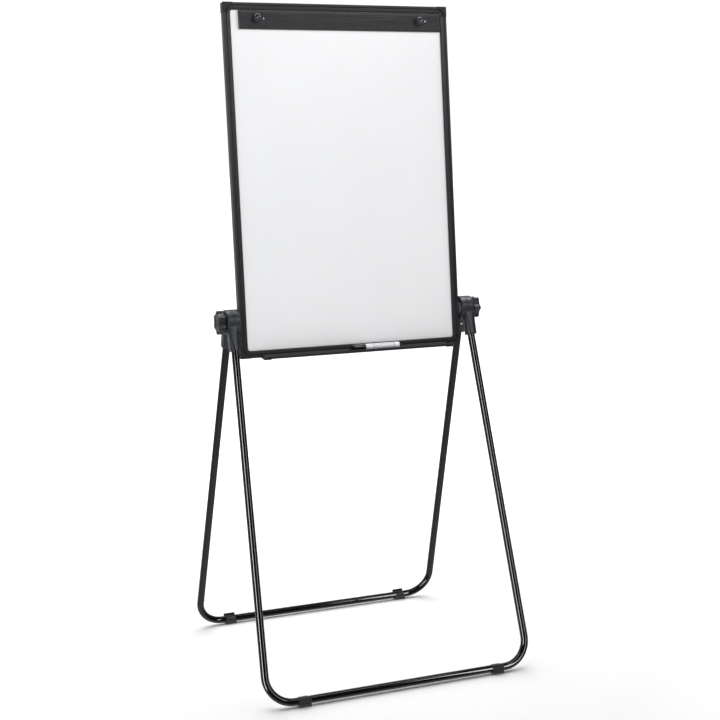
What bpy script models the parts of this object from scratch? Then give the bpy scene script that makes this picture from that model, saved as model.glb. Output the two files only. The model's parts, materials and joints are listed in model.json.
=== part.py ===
"""Folding presentation easel: a framed writing board on two U-shaped tube legs.

Units are metres, +Z is up, +X runs to the right of someone facing the board and -Y is the
front.  The origin lies on the floor, midway between the legs and under the hub axis.
Run it in Blender 4.5: every piece is built in the frame of the assembly it belongs to, and
that frame is an empty on the hub axis, about which the legs fold and the board turns.
"""
from math import asin, atan2, cos, degrees, hypot, pi, radians, sin

import bmesh
import bpy
from mathutils import Matrix, Vector

MM = 0.001
GAP = 0.3 * MM                      # free play between neighbouring pieces

# Driving dimensions
BOARD_WIDTH = 0.700
BOARD_HEIGHT = 1.0195
BOARD_DROP = 0.109                  # bottom edge of the board below the hub axis
BOARD_TILT = radians(5.1)           # the board leans back
HUB_HEIGHT = 1.0385
FOOT_SPREAD = 0.365                 # floor runs of the legs, ahead of and behind the axis
LEG_OFFSET = 17.5 * MM              # tube centre line, off the hub axis to its own side
LEG_X_HUB = BOARD_WIDTH / 2 + 25.5 * MM
LEG_X_FLOOR = BOARD_WIDTH / 2 + 56 * MM
TUBE_RADIUS = 11 * MM
TUBE_WALL = 1.2 * MM
TUBE_FLOOR_HEIGHT = 15 * MM
BEND_RADIUS = 78 * MM
ACCESSORY_SHIFT = 10 * MM           # clamp bar and tray sit this far right of the middle

HALF_WIDTH = BOARD_WIDTH / 2
BOARD_TOP = BOARD_HEIGHT - BOARD_DROP
LEG_DROP = HUB_HEIGHT - TUBE_FLOOR_HEIGHT
LEG_ANGLE = atan2(FOOT_SPREAD, LEG_DROP) - asin(LEG_OFFSET / hypot(FOOT_SPREAD, LEG_DROP))
LEG_LENGTH = (LEG_DROP + LEG_OFFSET * sin(LEG_ANGLE)) / cos(LEG_ANGLE)
FOLD_ANGLE = 2 * LEG_ANGLE          # the legs close until they are parallel

# Frame rails: section measured from the outer edge inwards, and from the mid-plane out
RAIL_FACE = 21.4 * MM
RAIL_HALF_DEPTH = 11 * MM
RAIL_LIP = 7.3 * MM
RAIL_GROOVE_END = 10.6 * MM
RAIL_GROOVE_DEPTH = 1.8 * MM
RAIL_INNER_SLOPE = 3.0 * MM
RAIL_EDGE = 1.2 * MM
CHAMBER_START = 1.8 * MM
CHAMBER_END = 10.6 * MM
CHAMBER_HALF_DEPTH = 8.5 * MM
SLOT_START = 12.4 * MM
SLOT_HALF_DEPTH = 4.4 * MM
CORNER_SIZE = 30 * MM
CORNER_PROUD = 0.5 * MM
CORNER_FILLET = 7 * MM
CORNER_ARC_CENTRE = 28 * MM
SPIGOT_END = 52 * MM

CORE_HALF_DEPTH = 3.2 * MM
SHEET_DEPTH = 0.6 * MM
PANEL_EDGE = SLOT_START + GAP

# Hub stack, as distances outboard of the board's side edge
WASHER_SPAN = (0.4 * MM, 2.2 * MM)
INNER_DISC_SPAN = (2.5 * MM, 22.2 * MM)
OUTER_DISC_SPAN = (22.8 * MM, 41.6 * MM)
KNOB_WASHER_SPAN = (41.9 * MM, 43.5 * MM)
KNOB_SPAN = (43.8 * MM, 66.0 * MM)
BOLT_SPAN = (-10.2 * MM, 58.0 * MM)
NUT_SPAN = (44.0 * MM, 51.8 * MM)
DISC_RADIUS = 36 * MM
BOLT_RADIUS = 5 * MM
BORE_RADIUS = BOLT_RADIUS + GAP
ANCHOR_HALF_HEIGHT = 35 * MM
RING_RADII = (14 * MM, 28 * MM)
RING_SPAN = (20.8 * MM, 24.2 * MM)
STOP_PIN_ORBIT = 32.3 * MM
STOP_PIN_RADIUS = 2 * MM
STOP_PIN_SUNK = 5.5 * MM
STOP_PIN_PROUD = 3.0 * MM

# Leg sockets, in the frame of their leg
SOCKET_HALF_WIDTH = 15 * MM
SOCKET_BACK = 4 * MM
SOCKET_FRONT = 31 * MM
SOCKET_LENGTH = 88.5 * MM
SOCKET_ROUND = 3 * MM
PANEL_RISE = 1.2 * MM
TUBE_TOP = 40 * MM
RIVET_DROP = 57 * MM
RIVET_RADIUS = 2.3 * MM
RIVET_HEAD_RADIUS = 4 * MM

# Foot clips
FOOT_X = 0.2995
FOOT_LENGTH = 36 * MM
FOOT_RING = TUBE_RADIUS + 3 * MM
FOOT_WALL = 14.2 * MM
FOOT_WALL_TOP = 15.5 * MM

# Clamp bar, with depths measured forward of the board's mid-plane
CLAMP_LENGTH = 0.629
CLAMP_LOW = BOARD_TOP - 76 * MM
CLAMP_HIGH = BOARD_TOP - 22.5 * MM
CLAMP_BACK = 6 * MM
CLAMP_FRONT = 17 * MM
CLAMP_PLATE = 2 * MM
CLAMP_RIB_PITCH = 4.5 * MM
CLAMP_RIB_DEPTH = 0.5 * MM
CLAMP_RETURN = 12 * MM
CLAMP_CHAMFER = 3.5 * MM
STUD_X = 0.2535
STUD_HEIGHT = BOARD_TOP - 46 * MM
STUD_RADIUS = 3 * MM
STUD_FRONT = 28 * MM
CLAMP_KNOB_SPAN = (17.4 * MM, 36.0 * MM)
PAD_PIN_OFFSET = 22 * MM

# Marker tray, with depths forward of the mid-plane and heights from the hub axis
TRAY_LENGTH = 0.592
TRAY_CAP_LENGTH = 20 * MM
TRAY_CAP_WALL = 3.5 * MM
TRAY_FLOOR = -106.8 * MM
TRAY_BACK = RAIL_HALF_DEPTH + GAP
TRAY_FRONT = 45 * MM

MARKER_RADIUS = 8.75 * MM
MARKER_START = -10.5 * MM
MARKER_MOUTH = 32.0 * MM
MARKER_END = 142.0 * MM

# Base colour, roughness and metallic value of each finish
FINISHES = {
    "gloss_black_tube": ((0.012, 0.012, 0.013), 0.16, 0.0),
    "satin_black_rail": ((0.030, 0.030, 0.032), 0.38, 0.6),
    "textured_black": ((0.024, 0.025, 0.028), 0.55, 0.0),
    "hub_grey": ((0.045, 0.048, 0.055), 0.45, 0.0),
    "clamp_black": ((0.035, 0.036, 0.038), 0.42, 0.0),
    "shiny_black": ((0.015, 0.016, 0.018), 0.20, 0.0),
    "white_board": ((0.86, 0.87, 0.88), 0.22, 0.0),
    "core_board": ((0.42, 0.31, 0.20), 0.80, 0.0),
    "zinc_steel": ((0.62, 0.62, 0.60), 0.35, 1.0),
    "dark_steel": ((0.10, 0.10, 0.10), 0.40, 1.0),
    "fibre_red": ((0.28, 0.08, 0.05), 0.70, 0.0),
    "soft_rubber": ((0.020, 0.020, 0.020), 0.75, 0.0),
    "marker_white": ((0.80, 0.81, 0.82), 0.30, 0.0),
    "felt": ((0.010, 0.010, 0.012), 0.90, 0.0),
}

FRONT, REAR = -1, 1                 # sign of the outward direction of each leg along Y
LEFT, RIGHT = -1, 1                 # sign of each side along X
SIDES = {"left": LEFT, "right": RIGHT}
UNIT = (Vector((1, 0, 0)), Vector((0, 1, 0)), Vector((0, 0, 1)))


# ---------------------------------------------------------------- modelling helpers

def clear_scene():
    for old in list(bpy.data.objects):
        bpy.data.objects.remove(old)


def object_from(bm, name="shape"):
    """Link a new object that holds the bmesh, with its faces turned outwards."""
    bmesh.ops.recalc_face_normals(bm, faces=bm.faces)
    mesh = bpy.data.meshes.new(name)
    bm.to_mesh(mesh)
    bm.free()
    obj = bpy.data.objects.new(name, mesh)
    bpy.context.scene.collection.objects.link(obj)
    return obj


def loft(sections):
    """Skin a stack of equal-length point loops and close both ends."""
    bm = bmesh.new()
    rings = [[bm.verts.new(point) for point in section] for section in sections]
    for low, high in zip(rings, rings[1:]):
        for i in range(len(low)):
            j = (i + 1) % len(low)
            bm.faces.new((low[i], low[j], high[j], high[i]))
    bm.faces.new(rings[0])
    bm.faces.new(rings[-1])
    return object_from(bm)


def prism(outline, start, end, axes=UNIT):
    """Extrude a closed outline in the first two axes along the third, from start to end."""
    u, v, w = axes
    return loft([[u * a + v * b + w * depth for a, b in outline] for depth in (start, end)])


def box(low, high):
    outline = [(low[0], low[1]), (high[0], low[1]), (high[0], high[1]), (low[0], high[1])]
    return prism(outline, low[2], high[2])


def arc(centre, radius, start, end, steps):
    """Points on an arc, both ends included; the angles are in degrees."""
    angles = [radians(start + (end - start) * i / steps) for i in range(steps + 1)]
    return [(centre[0] + radius * cos(a), centre[1] + radius * sin(a)) for a in angles]


def rounded_box_outline(low, high, radius, steps=3):
    corners = (((high[0], high[1]), 0), ((low[0], high[1]), 90),
               ((low[0], low[1]), 180), ((high[0], low[1]), 270))
    points = []
    for (x, y), start in corners:
        centre = (x - radius if x == high[0] else x + radius,
                  y - radius if y == high[1] else y + radius)
        points += arc(centre, radius, start, start + 90, steps)
    return points


def turned(profile, steps, axes=UNIT, centre=(0.0, 0.0)):
    """Revolve (depth, radius) points about the third axis; radius 0 closes an end."""
    u, v, w = axes
    bm = bmesh.new()
    rings = []
    for depth, radius in profile:
        if radius == 0:
            rings.append([bm.verts.new(u * centre[0] + v * centre[1] + w * depth)] * steps)
            continue
        ring = []
        for i in range(steps):
            angle = 2 * pi * i / steps
            a = centre[0] + radius * cos(angle)
            b = centre[1] + radius * sin(angle)
            ring.append(bm.verts.new(u * a + v * b + w * depth))
        rings.append(ring)
    closed = profile[0][1] > 0
    pairs = list(zip(rings, rings[1:]))
    if closed:
        pairs.append((rings[-1], rings[0]))
    for low, high in pairs:
        for i in range(steps):
            j = (i + 1) % steps
            corners = []
            for vert in (low[i], low[j], high[j], high[i]):
                if vert not in corners:
                    corners.append(vert)
            bm.faces.new(corners)
    return object_from(bm)


def rod(radius, start, end, steps, axes=UNIT, centre=(0.0, 0.0)):
    return turned([(start, 0), (start, radius), (end, radius), (end, 0)], steps, axes, centre)


def washer(radii, span, steps, axes=UNIT):
    inner, outer = radii
    profile = [(span[0], inner), (span[0], outer), (span[1], outer), (span[1], inner)]
    return turned(profile, steps, axes)


def combine(target, tool, operation="DIFFERENCE"):
    """Apply one exact boolean to the target and remove the tool."""
    modifier = target.modifiers.new("Combine", "BOOLEAN")
    modifier.operation = operation
    modifier.object = tool
    graph = bpy.context.evaluated_depsgraph_get()
    mesh = bpy.data.meshes.new_from_object(target.evaluated_get(graph))
    target.modifiers.clear()
    target.data = mesh
    bpy.data.objects.remove(tool)
    return target


def finish(obj, name, look, frame, smooth=0.0):
    """Name the piece, give it its own material and hang it on its frame."""
    obj.name = name
    obj.data.name = name
    colour, roughness, metallic = FINISHES[look]
    material = bpy.data.materials.new(name)
    material.use_nodes = True
    shader = material.node_tree.nodes["Principled BSDF"]
    shader.inputs["Base Color"].default_value = (*colour, 1.0)
    shader.inputs["Roughness"].default_value = roughness
    shader.inputs["Metallic"].default_value = metallic
    obj.data.materials.clear()
    obj.data.materials.append(material)
    if smooth:
        obj.data.shade_smooth()
        obj.data.set_sharp_from_angle(angle=radians(smooth))
    obj.parent = frame
    return obj


def frame_empty(name, location=(0, 0, 0), tilt=0.0, parent=None):
    frame = bpy.data.objects.new(name, None)
    frame.empty_display_size = 0.05
    frame.location = location
    frame.rotation_euler = (tilt, 0, 0)
    frame.parent = parent
    bpy.context.scene.collection.objects.link(frame)
    return frame


def outboard_axes(side):
    """Axes whose third direction points away from the board on that side."""
    return (UNIT[1], UNIT[2], UNIT[0] * side)


def outboard(span):
    """Distances from the mid-plane for a span measured from the board's side edge."""
    return HALF_WIDTH + span[0], HALF_WIDTH + span[1]


FORWARD_AXES = (UNIT[0], UNIT[2], -UNIT[1])          # (x, height, depth forward)
TRAY_AXES = (-UNIT[1], UNIT[2], UNIT[0])             # (depth forward, height, x)


# ---------------------------------------------------------------- board and frame

def rail_outline():
    """Section of a rail: (distance from the outer edge, distance from the mid-plane)."""
    slope = RAIL_FACE - RAIL_INNER_SLOPE
    face = RAIL_HALF_DEPTH
    groove = face - RAIL_GROOVE_DEPTH
    bevel = RAIL_GROOVE_DEPTH / 2
    half = [(0, face - RAIL_EDGE), (RAIL_EDGE, face), (RAIL_LIP, face),
            (RAIL_LIP + bevel, groove), (RAIL_GROOVE_END - bevel, groove),
            (RAIL_GROOVE_END, face), (slope, face), (RAIL_FACE, face - 2.4 * MM),
            (RAIL_FACE, SLOT_HALF_DEPTH), (SLOT_START, SLOT_HALF_DEPTH)]
    return half + [(a, -b) for a, b in reversed(half)]


def chamber_outline(shrink=0.0):
    start, end = CHAMBER_START + shrink, CHAMBER_END - shrink
    half = CHAMBER_HALF_DEPTH - shrink
    return [(start, -half), (end, -half), (end, half), (start, half)]


def build_rails(frame):
    """Four grooved hollow rails, square cut where the corner caps begin."""
    x_end = HALF_WIDTH - CORNER_SIZE - GAP
    low = -BOARD_DROP + CORNER_SIZE + GAP
    high = BOARD_TOP - CORNER_SIZE - GAP
    layout = {
        "left_rail": (UNIT[0], UNIT[2], low, high, Vector((-HALF_WIDTH, 0, 0))),
        "right_rail": (-UNIT[0], UNIT[2], low, high, Vector((HALF_WIDTH, 0, 0))),
        "bottom_rail": (UNIT[2], UNIT[0], -x_end, x_end, Vector((0, 0, -BOARD_DROP))),
        "top_rail": (-UNIT[2], UNIT[0], -x_end, x_end, Vector((0, 0, BOARD_TOP))),
    }
    overrun = 5 * MM
    for name, (inward, along, start, end, edge) in layout.items():
        axes = (inward, UNIT[1], along)
        rail = prism(rail_outline(), start, end, axes)
        combine(rail, prism(chamber_outline(), start - overrun, end + overrun, axes))
        rail.data.transform(Matrix.Translation(edge))
        if name in ("left_rail", "right_rail"):
            side = SIDES[name.split("_")[0]]
            hole = rod(BORE_RADIUS, HALF_WIDTH - 4 * MM, HALF_WIDTH + 4 * MM, 24,
                       outboard_axes(side))
            combine(rail, hole)
        finish(rail, name, "satin_black_rail", frame)


def corner_outline():
    """L-shaped face of a corner cap, measured inwards from both edges of the board."""
    out, inner, end = -CORNER_PROUD, RAIL_FACE, CORNER_SIZE
    turn = inner + CORNER_FILLET
    radius = 3 * MM
    points = arc((out + radius, out + radius), radius, 180, 270, 4)
    points += [(end, out), (end, inner)]
    points += arc((turn, turn), CORNER_FILLET, 270, 180, 6)
    points += [(inner, end), (out, end)]
    return points


def corner_groove_outline():
    """The rails' groove, carried round the corner on an arc."""
    centre = CORNER_ARC_CENTRE
    overrun = CORNER_SIZE + 1 * MM
    points = [(overrun, RAIL_LIP)]
    points += arc((centre, centre), centre - RAIL_LIP, 270, 180, 8)
    points += [(RAIL_LIP, overrun), (RAIL_GROOVE_END, overrun)]
    points += arc((centre, centre), centre - RAIL_GROOVE_END, 180, 270, 8)
    points += [(overrun, RAIL_GROOVE_END)]
    return points


def build_corners(frame):
    """Moulded caps whose two spigots plug into the rails they join."""
    proud = RAIL_HALF_DEPTH + CORNER_PROUD
    groove_floor = RAIL_HALF_DEPTH - RAIL_GROOVE_DEPTH
    for vertical, edge, up in (("top", BOARD_TOP, -1), ("bottom", -BOARD_DROP, 1)):
        for horizontal, side in SIDES.items():
            axes = (UNIT[0] * -side, UNIT[2] * up, UNIT[1])
            cap = prism(corner_outline(), -proud, proud, axes)
            spigot = chamber_outline(GAP)
            reach = (CORNER_SIZE - 4 * MM, SPIGOT_END)
            for inward, along in ((axes[0], axes[1]), (axes[1], axes[0])):
                plug = prism(spigot, *reach, (inward, UNIT[1], along))
                combine(cap, plug, "UNION")
            for face in (-1, 1):
                depths = sorted((face * groove_floor, face * (proud + 1 * MM)))
                combine(cap, prism(corner_groove_outline(), *depths, axes))
            start, end = SLOT_START, CORNER_SIZE + 1 * MM
            square = [(start, start), (end, start), (end, end), (start, end)]
            combine(cap, prism(square, -SLOT_HALF_DEPTH, SLOT_HALF_DEPTH, axes))
            cap.data.transform(Matrix.Translation((side * HALF_WIDTH, 0, edge)))
            finish(cap, f"{vertical}_{horizontal}_corner", "textured_black", frame, 30)


def build_panel(frame):
    """Board core between two thin writing sheets, pierced for the clamp studs."""
    x = HALF_WIDTH - PANEL_EDGE
    low, high = -BOARD_DROP + PANEL_EDGE, BOARD_TOP - PANEL_EDGE
    sheet = CORE_HALF_DEPTH + GAP
    layers = {
        "board_core": (-CORE_HALF_DEPTH, CORE_HALF_DEPTH, "core_board"),
        "front_writing_sheet": (-sheet - SHEET_DEPTH, -sheet, "white_board"),
        "rear_writing_sheet": (sheet, sheet + SHEET_DEPTH, "white_board"),
    }
    for name, (front, back, look) in layers.items():
        layer = box((-x, front, low), (x, back, high))
        for stud_x in (-STUD_X, STUD_X):
            combine(layer, rod(STUD_RADIUS + GAP, -SLOT_HALF_DEPTH, SLOT_HALF_DEPTH, 16,
                               FORWARD_AXES, (stud_x, STUD_HEIGHT)))
        finish(layer, name, look, frame)


def build_pivots(frame):
    """Anchor block in the side rail, bolt and washer: the board's half of each hub."""
    for name, side in SIDES.items():
        axes = outboard_axes(side)
        inward = (UNIT[0] * -side, UNIT[1], UNIT[2])
        anchor = prism(chamber_outline(GAP), -ANCHOR_HALF_HEIGHT, ANCHOR_HALF_HEIGHT, inward)
        anchor.data.transform(Matrix.Translation((side * HALF_WIDTH, 0, 0)))
        combine(anchor, rod(BORE_RADIUS, HALF_WIDTH - 15 * MM, HALF_WIDTH, 24, axes))
        finish(anchor, f"{name}_pivot_anchor", "zinc_steel", frame)

        start, end = outboard(BOLT_SPAN)
        lead = 1 * MM
        profile = [(start, 0), (start, BOLT_RADIUS), (end - lead, BOLT_RADIUS),
                   (end, BOLT_RADIUS - lead), (end, 0)]
        bolt = turned(profile, 24, axes)
        finish(bolt, f"{name}_pivot_bolt", "zinc_steel", frame, 30)

        plain = washer((BORE_RADIUS, 20 * MM), outboard(WASHER_SPAN), 32, axes)
        finish(plain, f"{name}_pivot_washer", "zinc_steel", frame, 30)


# ---------------------------------------------------------------- legs and hubs

def leg_x(drop):
    """Sideways place of a leg's centre line at a distance down from the hub axis."""
    if drop <= SOCKET_LENGTH:
        return LEG_X_HUB
    return LEG_X_HUB + (LEG_X_FLOOR - LEG_X_HUB) * (drop - SOCKET_LENGTH) / (
        LEG_LENGTH - SOCKET_LENGTH)


def leg_path():
    """Centre line of a U-shaped leg as (x, drop) points, from the left end to the right."""
    flare = atan2(LEG_X_FLOOR - LEG_X_HUB, LEG_LENGTH - SOCKET_LENGTH)
    turn = pi / 2 + flare
    cut_back = BEND_RADIUS * sin(turn / 2) / cos(turn / 2)
    centre_x = LEG_X_FLOOR - cut_back
    centre_drop = LEG_LENGTH - BEND_RADIUS
    bend_steps = 9
    half = [(LEG_X_HUB, TUBE_TOP), (LEG_X_HUB, SOCKET_LENGTH)]
    for i in range(bend_steps + 1):
        angle = -flare + (flare + pi / 2) * i / bend_steps
        if i == 0:
            middle = (half[-1][1] + centre_drop) / 2
            half.append((leg_x(middle), middle))
        half.append((centre_x + BEND_RADIUS * cos(angle),
                     centre_drop + BEND_RADIUS * sin(angle)))
    return [(-x, drop) for x, drop in half] + [(x, drop) for x, drop in reversed(half)]


def swept_tube(path, outer, inner, steps, depth):
    """Hollow round tube along a path in the XZ plane, open at both ends."""
    points = [Vector((x, depth, -drop)) for x, drop in path]
    bm = bmesh.new()
    skins = []
    for radius in (outer, inner):
        rings = []
        for i, point in enumerate(points):
            before = points[max(i - 1, 0)]
            after = points[min(i + 1, len(points) - 1)]
            along = (after - before).normalized()
            across = along.cross(UNIT[1]).normalized()
            ring = []
            for k in range(steps):
                angle = 2 * pi * k / steps
                ring.append(bm.verts.new(
                    point + (across * cos(angle) + UNIT[1] * sin(angle)) * radius))
            rings.append(ring)
        skins.append(rings)
    for rings in skins:
        for low, high in zip(rings, rings[1:]):
            for k in range(steps):
                m = (k + 1) % steps
                bm.faces.new((low[k], low[m], high[m], high[k]))
    for end in (0, -1):
        shell, bore = skins[0][end], skins[1][end]
        for k in range(steps):
            m = (k + 1) % steps
            bm.faces.new((shell[k], shell[m], bore[m], bore[k]))
    return object_from(bm)


def socket_axes(outward):
    """(x, outward, up) directions in a leg's own frame."""
    return (UNIT[0], UNIT[1] * outward, UNIT[2])


def rivet_axes(outward):
    return (UNIT[0], UNIT[2], UNIT[1] * outward)


def build_leg_tube(name, outward, frame):
    depth = outward * LEG_OFFSET
    tube = swept_tube(leg_path(), TUBE_RADIUS, TUBE_RADIUS - TUBE_WALL, 16, depth)
    for side in SIDES.values():
        combine(tube, rod(RIVET_RADIUS + GAP, SOCKET_BACK - 2 * MM, LEG_OFFSET - 5 * MM, 12,
                          rivet_axes(outward), (side * LEG_X_HUB, -RIVET_DROP)))
    finish(tube, f"{name}_leg_tube", "gloss_black_tube", frame, 40)


def hub_slot(span, axes, pin_angle):
    """Arc slot for the stop pin: it lets the legs close, and stops them opening."""
    play = degrees((STOP_PIN_RADIUS + 0.5 * MM) / STOP_PIN_ORBIT)
    start = degrees(pin_angle) - play
    end = degrees(pin_angle + FOLD_ANGLE) + play
    width = STOP_PIN_RADIUS + 2 * GAP
    outline = arc((0, 0), STOP_PIN_ORBIT + width, start, end, 10)
    outline += arc((0, 0), STOP_PIN_ORBIT - width, end, start, 10)
    return prism(outline, *outboard(span), axes)


def build_hub(name, outward, frame, side):
    """Moulded hub: a clutch disc on the hub axis and the socket that holds the leg's end."""
    is_inner = (side == LEFT) == (outward == FRONT)
    own = INNER_DISC_SPAN if is_inner else OUTER_DISC_SPAN
    axes = outboard_axes(side)
    disc_edge = 1.5 * MM
    start, end = outboard(own)
    disc = turned([(start, 0), (start, DISC_RADIUS - disc_edge),
                   (start + disc_edge, DISC_RADIUS), (end - disc_edge, DISC_RADIUS),
                   (end, DISC_RADIUS - disc_edge), (end, 0)], 48, axes)

    x = side * LEG_X_HUB
    low = (x - SOCKET_HALF_WIDTH, SOCKET_BACK)
    high = (x + SOCKET_HALF_WIDTH, SOCKET_FRONT)
    shrink = 1.5 * MM
    levels = ((-SOCKET_LENGTH, shrink), (-SOCKET_LENGTH + 2 * shrink, 0.0), (0.0, 0.0))
    u, v, w = socket_axes(outward)
    sections = []
    for height, inset in levels:
        outline = rounded_box_outline((low[0] + inset, low[1] + inset),
                                      (high[0] - inset, high[1] - inset), SOCKET_ROUND)
        sections.append([u * a + v * b + w * height for a, b in outline])
    socket = loft(sections)
    panel_top, panel_bottom = 9.5 * MM, 7.0 * MM
    panel_end = -SOCKET_LENGTH + 2 * MM
    raised = [(x - panel_bottom, panel_end), (x + panel_bottom, panel_end),
              (x + panel_top, -22 * MM), (x - panel_top, -22 * MM)]
    combine(socket, prism(raised, SOCKET_FRONT - 4 * MM, SOCKET_FRONT + PANEL_RISE,
                          rivet_axes(outward)), "UNION")

    inset = 0.5 * MM
    if is_inner:
        neighbour = (own[1] - inset, OUTER_DISC_SPAN[1] + 5 * MM)
    else:
        neighbour = (INNER_DISC_SPAN[0] - 2 * MM, own[0] + inset)
    combine(socket, rod(DISC_RADIUS + 2 * GAP, *outboard(neighbour), 48, axes))
    hub = combine(disc, socket, "UNION")

    combine(hub, rod(TUBE_RADIUS + GAP, -SOCKET_LENGTH - 5 * MM, -TUBE_TOP + GAP, 24,
                     socket_axes(outward), (x, LEG_OFFSET)))
    combine(hub, rod(RIVET_RADIUS + GAP, SOCKET_BACK - 5 * MM, LEG_OFFSET, 12,
                     rivet_axes(outward), (x, -RIVET_DROP)))
    combine(hub, rod(BORE_RADIUS, HALF_WIDTH, HALF_WIDTH + 60 * MM, 24, axes))
    recess = (RING_SPAN[0] - GAP, RING_SPAN[1] + GAP)
    combine(hub, washer((RING_RADII[0] - GAP, RING_RADII[1] + GAP), outboard(recess), 40, axes))

    pin_angle = pi / 2 - outward * LEG_ANGLE
    face, into = (own[1], -1) if is_inner else (own[0], 1)
    past = face - into * 2 * MM
    if outward == FRONT:
        seat = sorted((past, face + into * (STOP_PIN_SUNK + GAP)))
        centre = (STOP_PIN_ORBIT * cos(pin_angle), STOP_PIN_ORBIT * sin(pin_angle))
        combine(hub, rod(STOP_PIN_RADIUS + GAP, *outboard(seat), 16, axes, centre))
    else:
        seat = sorted((past, face + into * (STOP_PIN_PROUD + 1 * MM)))
        combine(hub, hub_slot(seat, axes, pin_angle))
    leg = "front" if outward == FRONT else "rear"
    finish(hub, f"{leg}_{name}_hub", "hub_grey", frame, 30)


def build_rivets(name, outward, frame):
    """One blind rivet through each socket's inner face and the wall of the tube."""
    head = SOCKET_BACK - GAP
    tail = LEG_OFFSET - TUBE_RADIUS + TUBE_WALL + 1.0 * MM
    tail_radius = RIVET_RADIUS + 0.9 * MM
    profile = [(head - 1.8 * MM, 0), (head - 1.7 * MM, 1.6 * MM), (head - 1.0 * MM, 3.2 * MM),
               (head, RIVET_HEAD_RADIUS), (head, RIVET_RADIUS), (tail, RIVET_RADIUS),
               (tail, tail_radius), (tail + 2 * MM, tail_radius), (tail + 3 * MM, 0)]
    for side_name, side in SIDES.items():
        rivet = turned(profile, 12, rivet_axes(outward), (side * LEG_X_HUB, -RIVET_DROP))
        finish(rivet, f"{name}_{side_name}_rivet", "zinc_steel", frame, 30)


def foot_outline():
    """Clip round the tube: flat sole, open top, and a flat wall on its outward side."""
    sole = -TUBE_FLOOR_HEIGHT
    bore = TUBE_RADIUS + GAP
    mouth = 140
    points = [(FOOT_WALL, FOOT_WALL_TOP - 1 * MM), (FOOT_WALL, sole + 4 * MM),
              (FOOT_WALL - 2.5 * MM, sole), (-9.5 * MM, sole), (-12.5 * MM, sole + 4 * MM)]
    points += arc((0, 0), FOOT_RING, 205, mouth, 6)
    points += arc((0, 0), bore, mouth, 360, 18)
    points += [(bore, FOOT_WALL_TOP - 0.6 * MM), (bore + 0.6 * MM, FOOT_WALL_TOP),
               (FOOT_WALL - 1 * MM, FOOT_WALL_TOP)]
    return points


def build_feet(leg, outward, frame):
    """Two snap-on floor clips for a leg; their soles lie flat on the floor."""
    upright = outward * -LEG_ANGLE
    for name, side in SIDES.items():
        axes = (UNIT[1] * outward, UNIT[2], UNIT[0])
        foot = prism(foot_outline(), -FOOT_LENGTH / 2, FOOT_LENGTH / 2, axes)
        finish(foot, f"{leg}_{name}_foot", "textured_black", frame, 30)
        foot.location = (side * FOOT_X, outward * LEG_OFFSET, -LEG_LENGTH)
        foot.rotation_euler = (upright, 0, 0)


def build_legs(frames):
    for leg, outward in (("front", FRONT), ("rear", REAR)):
        frame = frames[leg]
        build_leg_tube(leg, outward, frame)
        for name, side in SIDES.items():
            build_hub(name, outward, frame, side)
        build_rivets(leg, outward, frame)
        build_feet(leg, outward, frame)


def build_clutch(frame):
    """Friction rings between the discs, and the pins that stop the legs opening further."""
    for name, side in SIDES.items():
        axes = outboard_axes(side)
        ring = washer(RING_RADII, outboard(RING_SPAN), 40, axes)
        finish(ring, f"{name}_friction_ring", "fibre_red", frame, 30)

        if side == LEFT:
            span = (INNER_DISC_SPAN[1] - STOP_PIN_SUNK, OUTER_DISC_SPAN[0] + STOP_PIN_PROUD)
        else:
            span = (INNER_DISC_SPAN[1] - STOP_PIN_PROUD, OUTER_DISC_SPAN[0] + STOP_PIN_SUNK)
        angle = pi / 2 + LEG_ANGLE
        centre = (STOP_PIN_ORBIT * cos(angle), STOP_PIN_ORBIT * sin(angle))
        pin = rod(STOP_PIN_RADIUS, *outboard(span), 12, axes, centre)
        finish(pin, f"{name}_stop_pin", "zinc_steel", frame, 30)


# ---------------------------------------------------------------- clutch knobs

def knob_outline(scale=1.0, turn=0.0):
    """Six rounded lobes with shallow hollows between them."""
    points = []
    steps = 60
    for i in range(steps):
        angle = 2 * pi * i / steps
        radius = (30.55 + 3.55 * cos(6 * angle) + 0.6 * cos(12 * angle)) * MM * scale
        points.append((radius * cos(angle + turn), radius * sin(angle + turn)))
    return points


def hexagon(across_flats):
    corner = across_flats / 2 / cos(pi / 6)
    return arc((0, 0), corner, 0, 300, 5)


def build_clutch_knobs(frames):
    """Lobed knobs with a nut pressed in, and the washer under each of them."""
    for name, side in SIDES.items():
        axes = outboard_axes(side)
        frame = frames[f"{name}_knob"]
        start, end = outboard(KNOB_SPAN)
        turn = pi / 2 if side == LEFT else 0.0
        levels = ((start, 0.95), (start + 1.5 * MM, 1.0), (end - 3 * MM, 1.0), (end - 1 * MM, 0.96),
                  (end, 0.90))
        u, v, w = axes
        sections = [[u * a + v * b + w * depth for a, b in knob_outline(scale, turn)]
                    for depth, scale in levels]
        knob = loft(sections)
        combine(knob, rod(BORE_RADIUS + GAP, start - 5 * MM, end - 4.5 * MM, 20, axes))
        combine(knob, prism(hexagon(17 * MM), start - 5 * MM,
                            HALF_WIDTH + NUT_SPAN[1] + GAP, axes))
        finish(knob, f"{name}_clutch_knob", "hub_grey", frame, 30)

        nut = prism(hexagon(16.4 * MM), *outboard(NUT_SPAN), axes)
        combine(nut, rod(BORE_RADIUS, *outboard((NUT_SPAN[0] - 5 * MM, NUT_SPAN[1] + 5 * MM)),
                         20, axes))
        finish(nut, f"{name}_clutch_nut", "zinc_steel", frame)

        plate = washer((BORE_RADIUS, 16 * MM), outboard(KNOB_WASHER_SPAN), 32, axes)
        finish(plate, f"{name}_knob_washer", "dark_steel", frame, 30)


# ---------------------------------------------------------------- paper clamp

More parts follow.
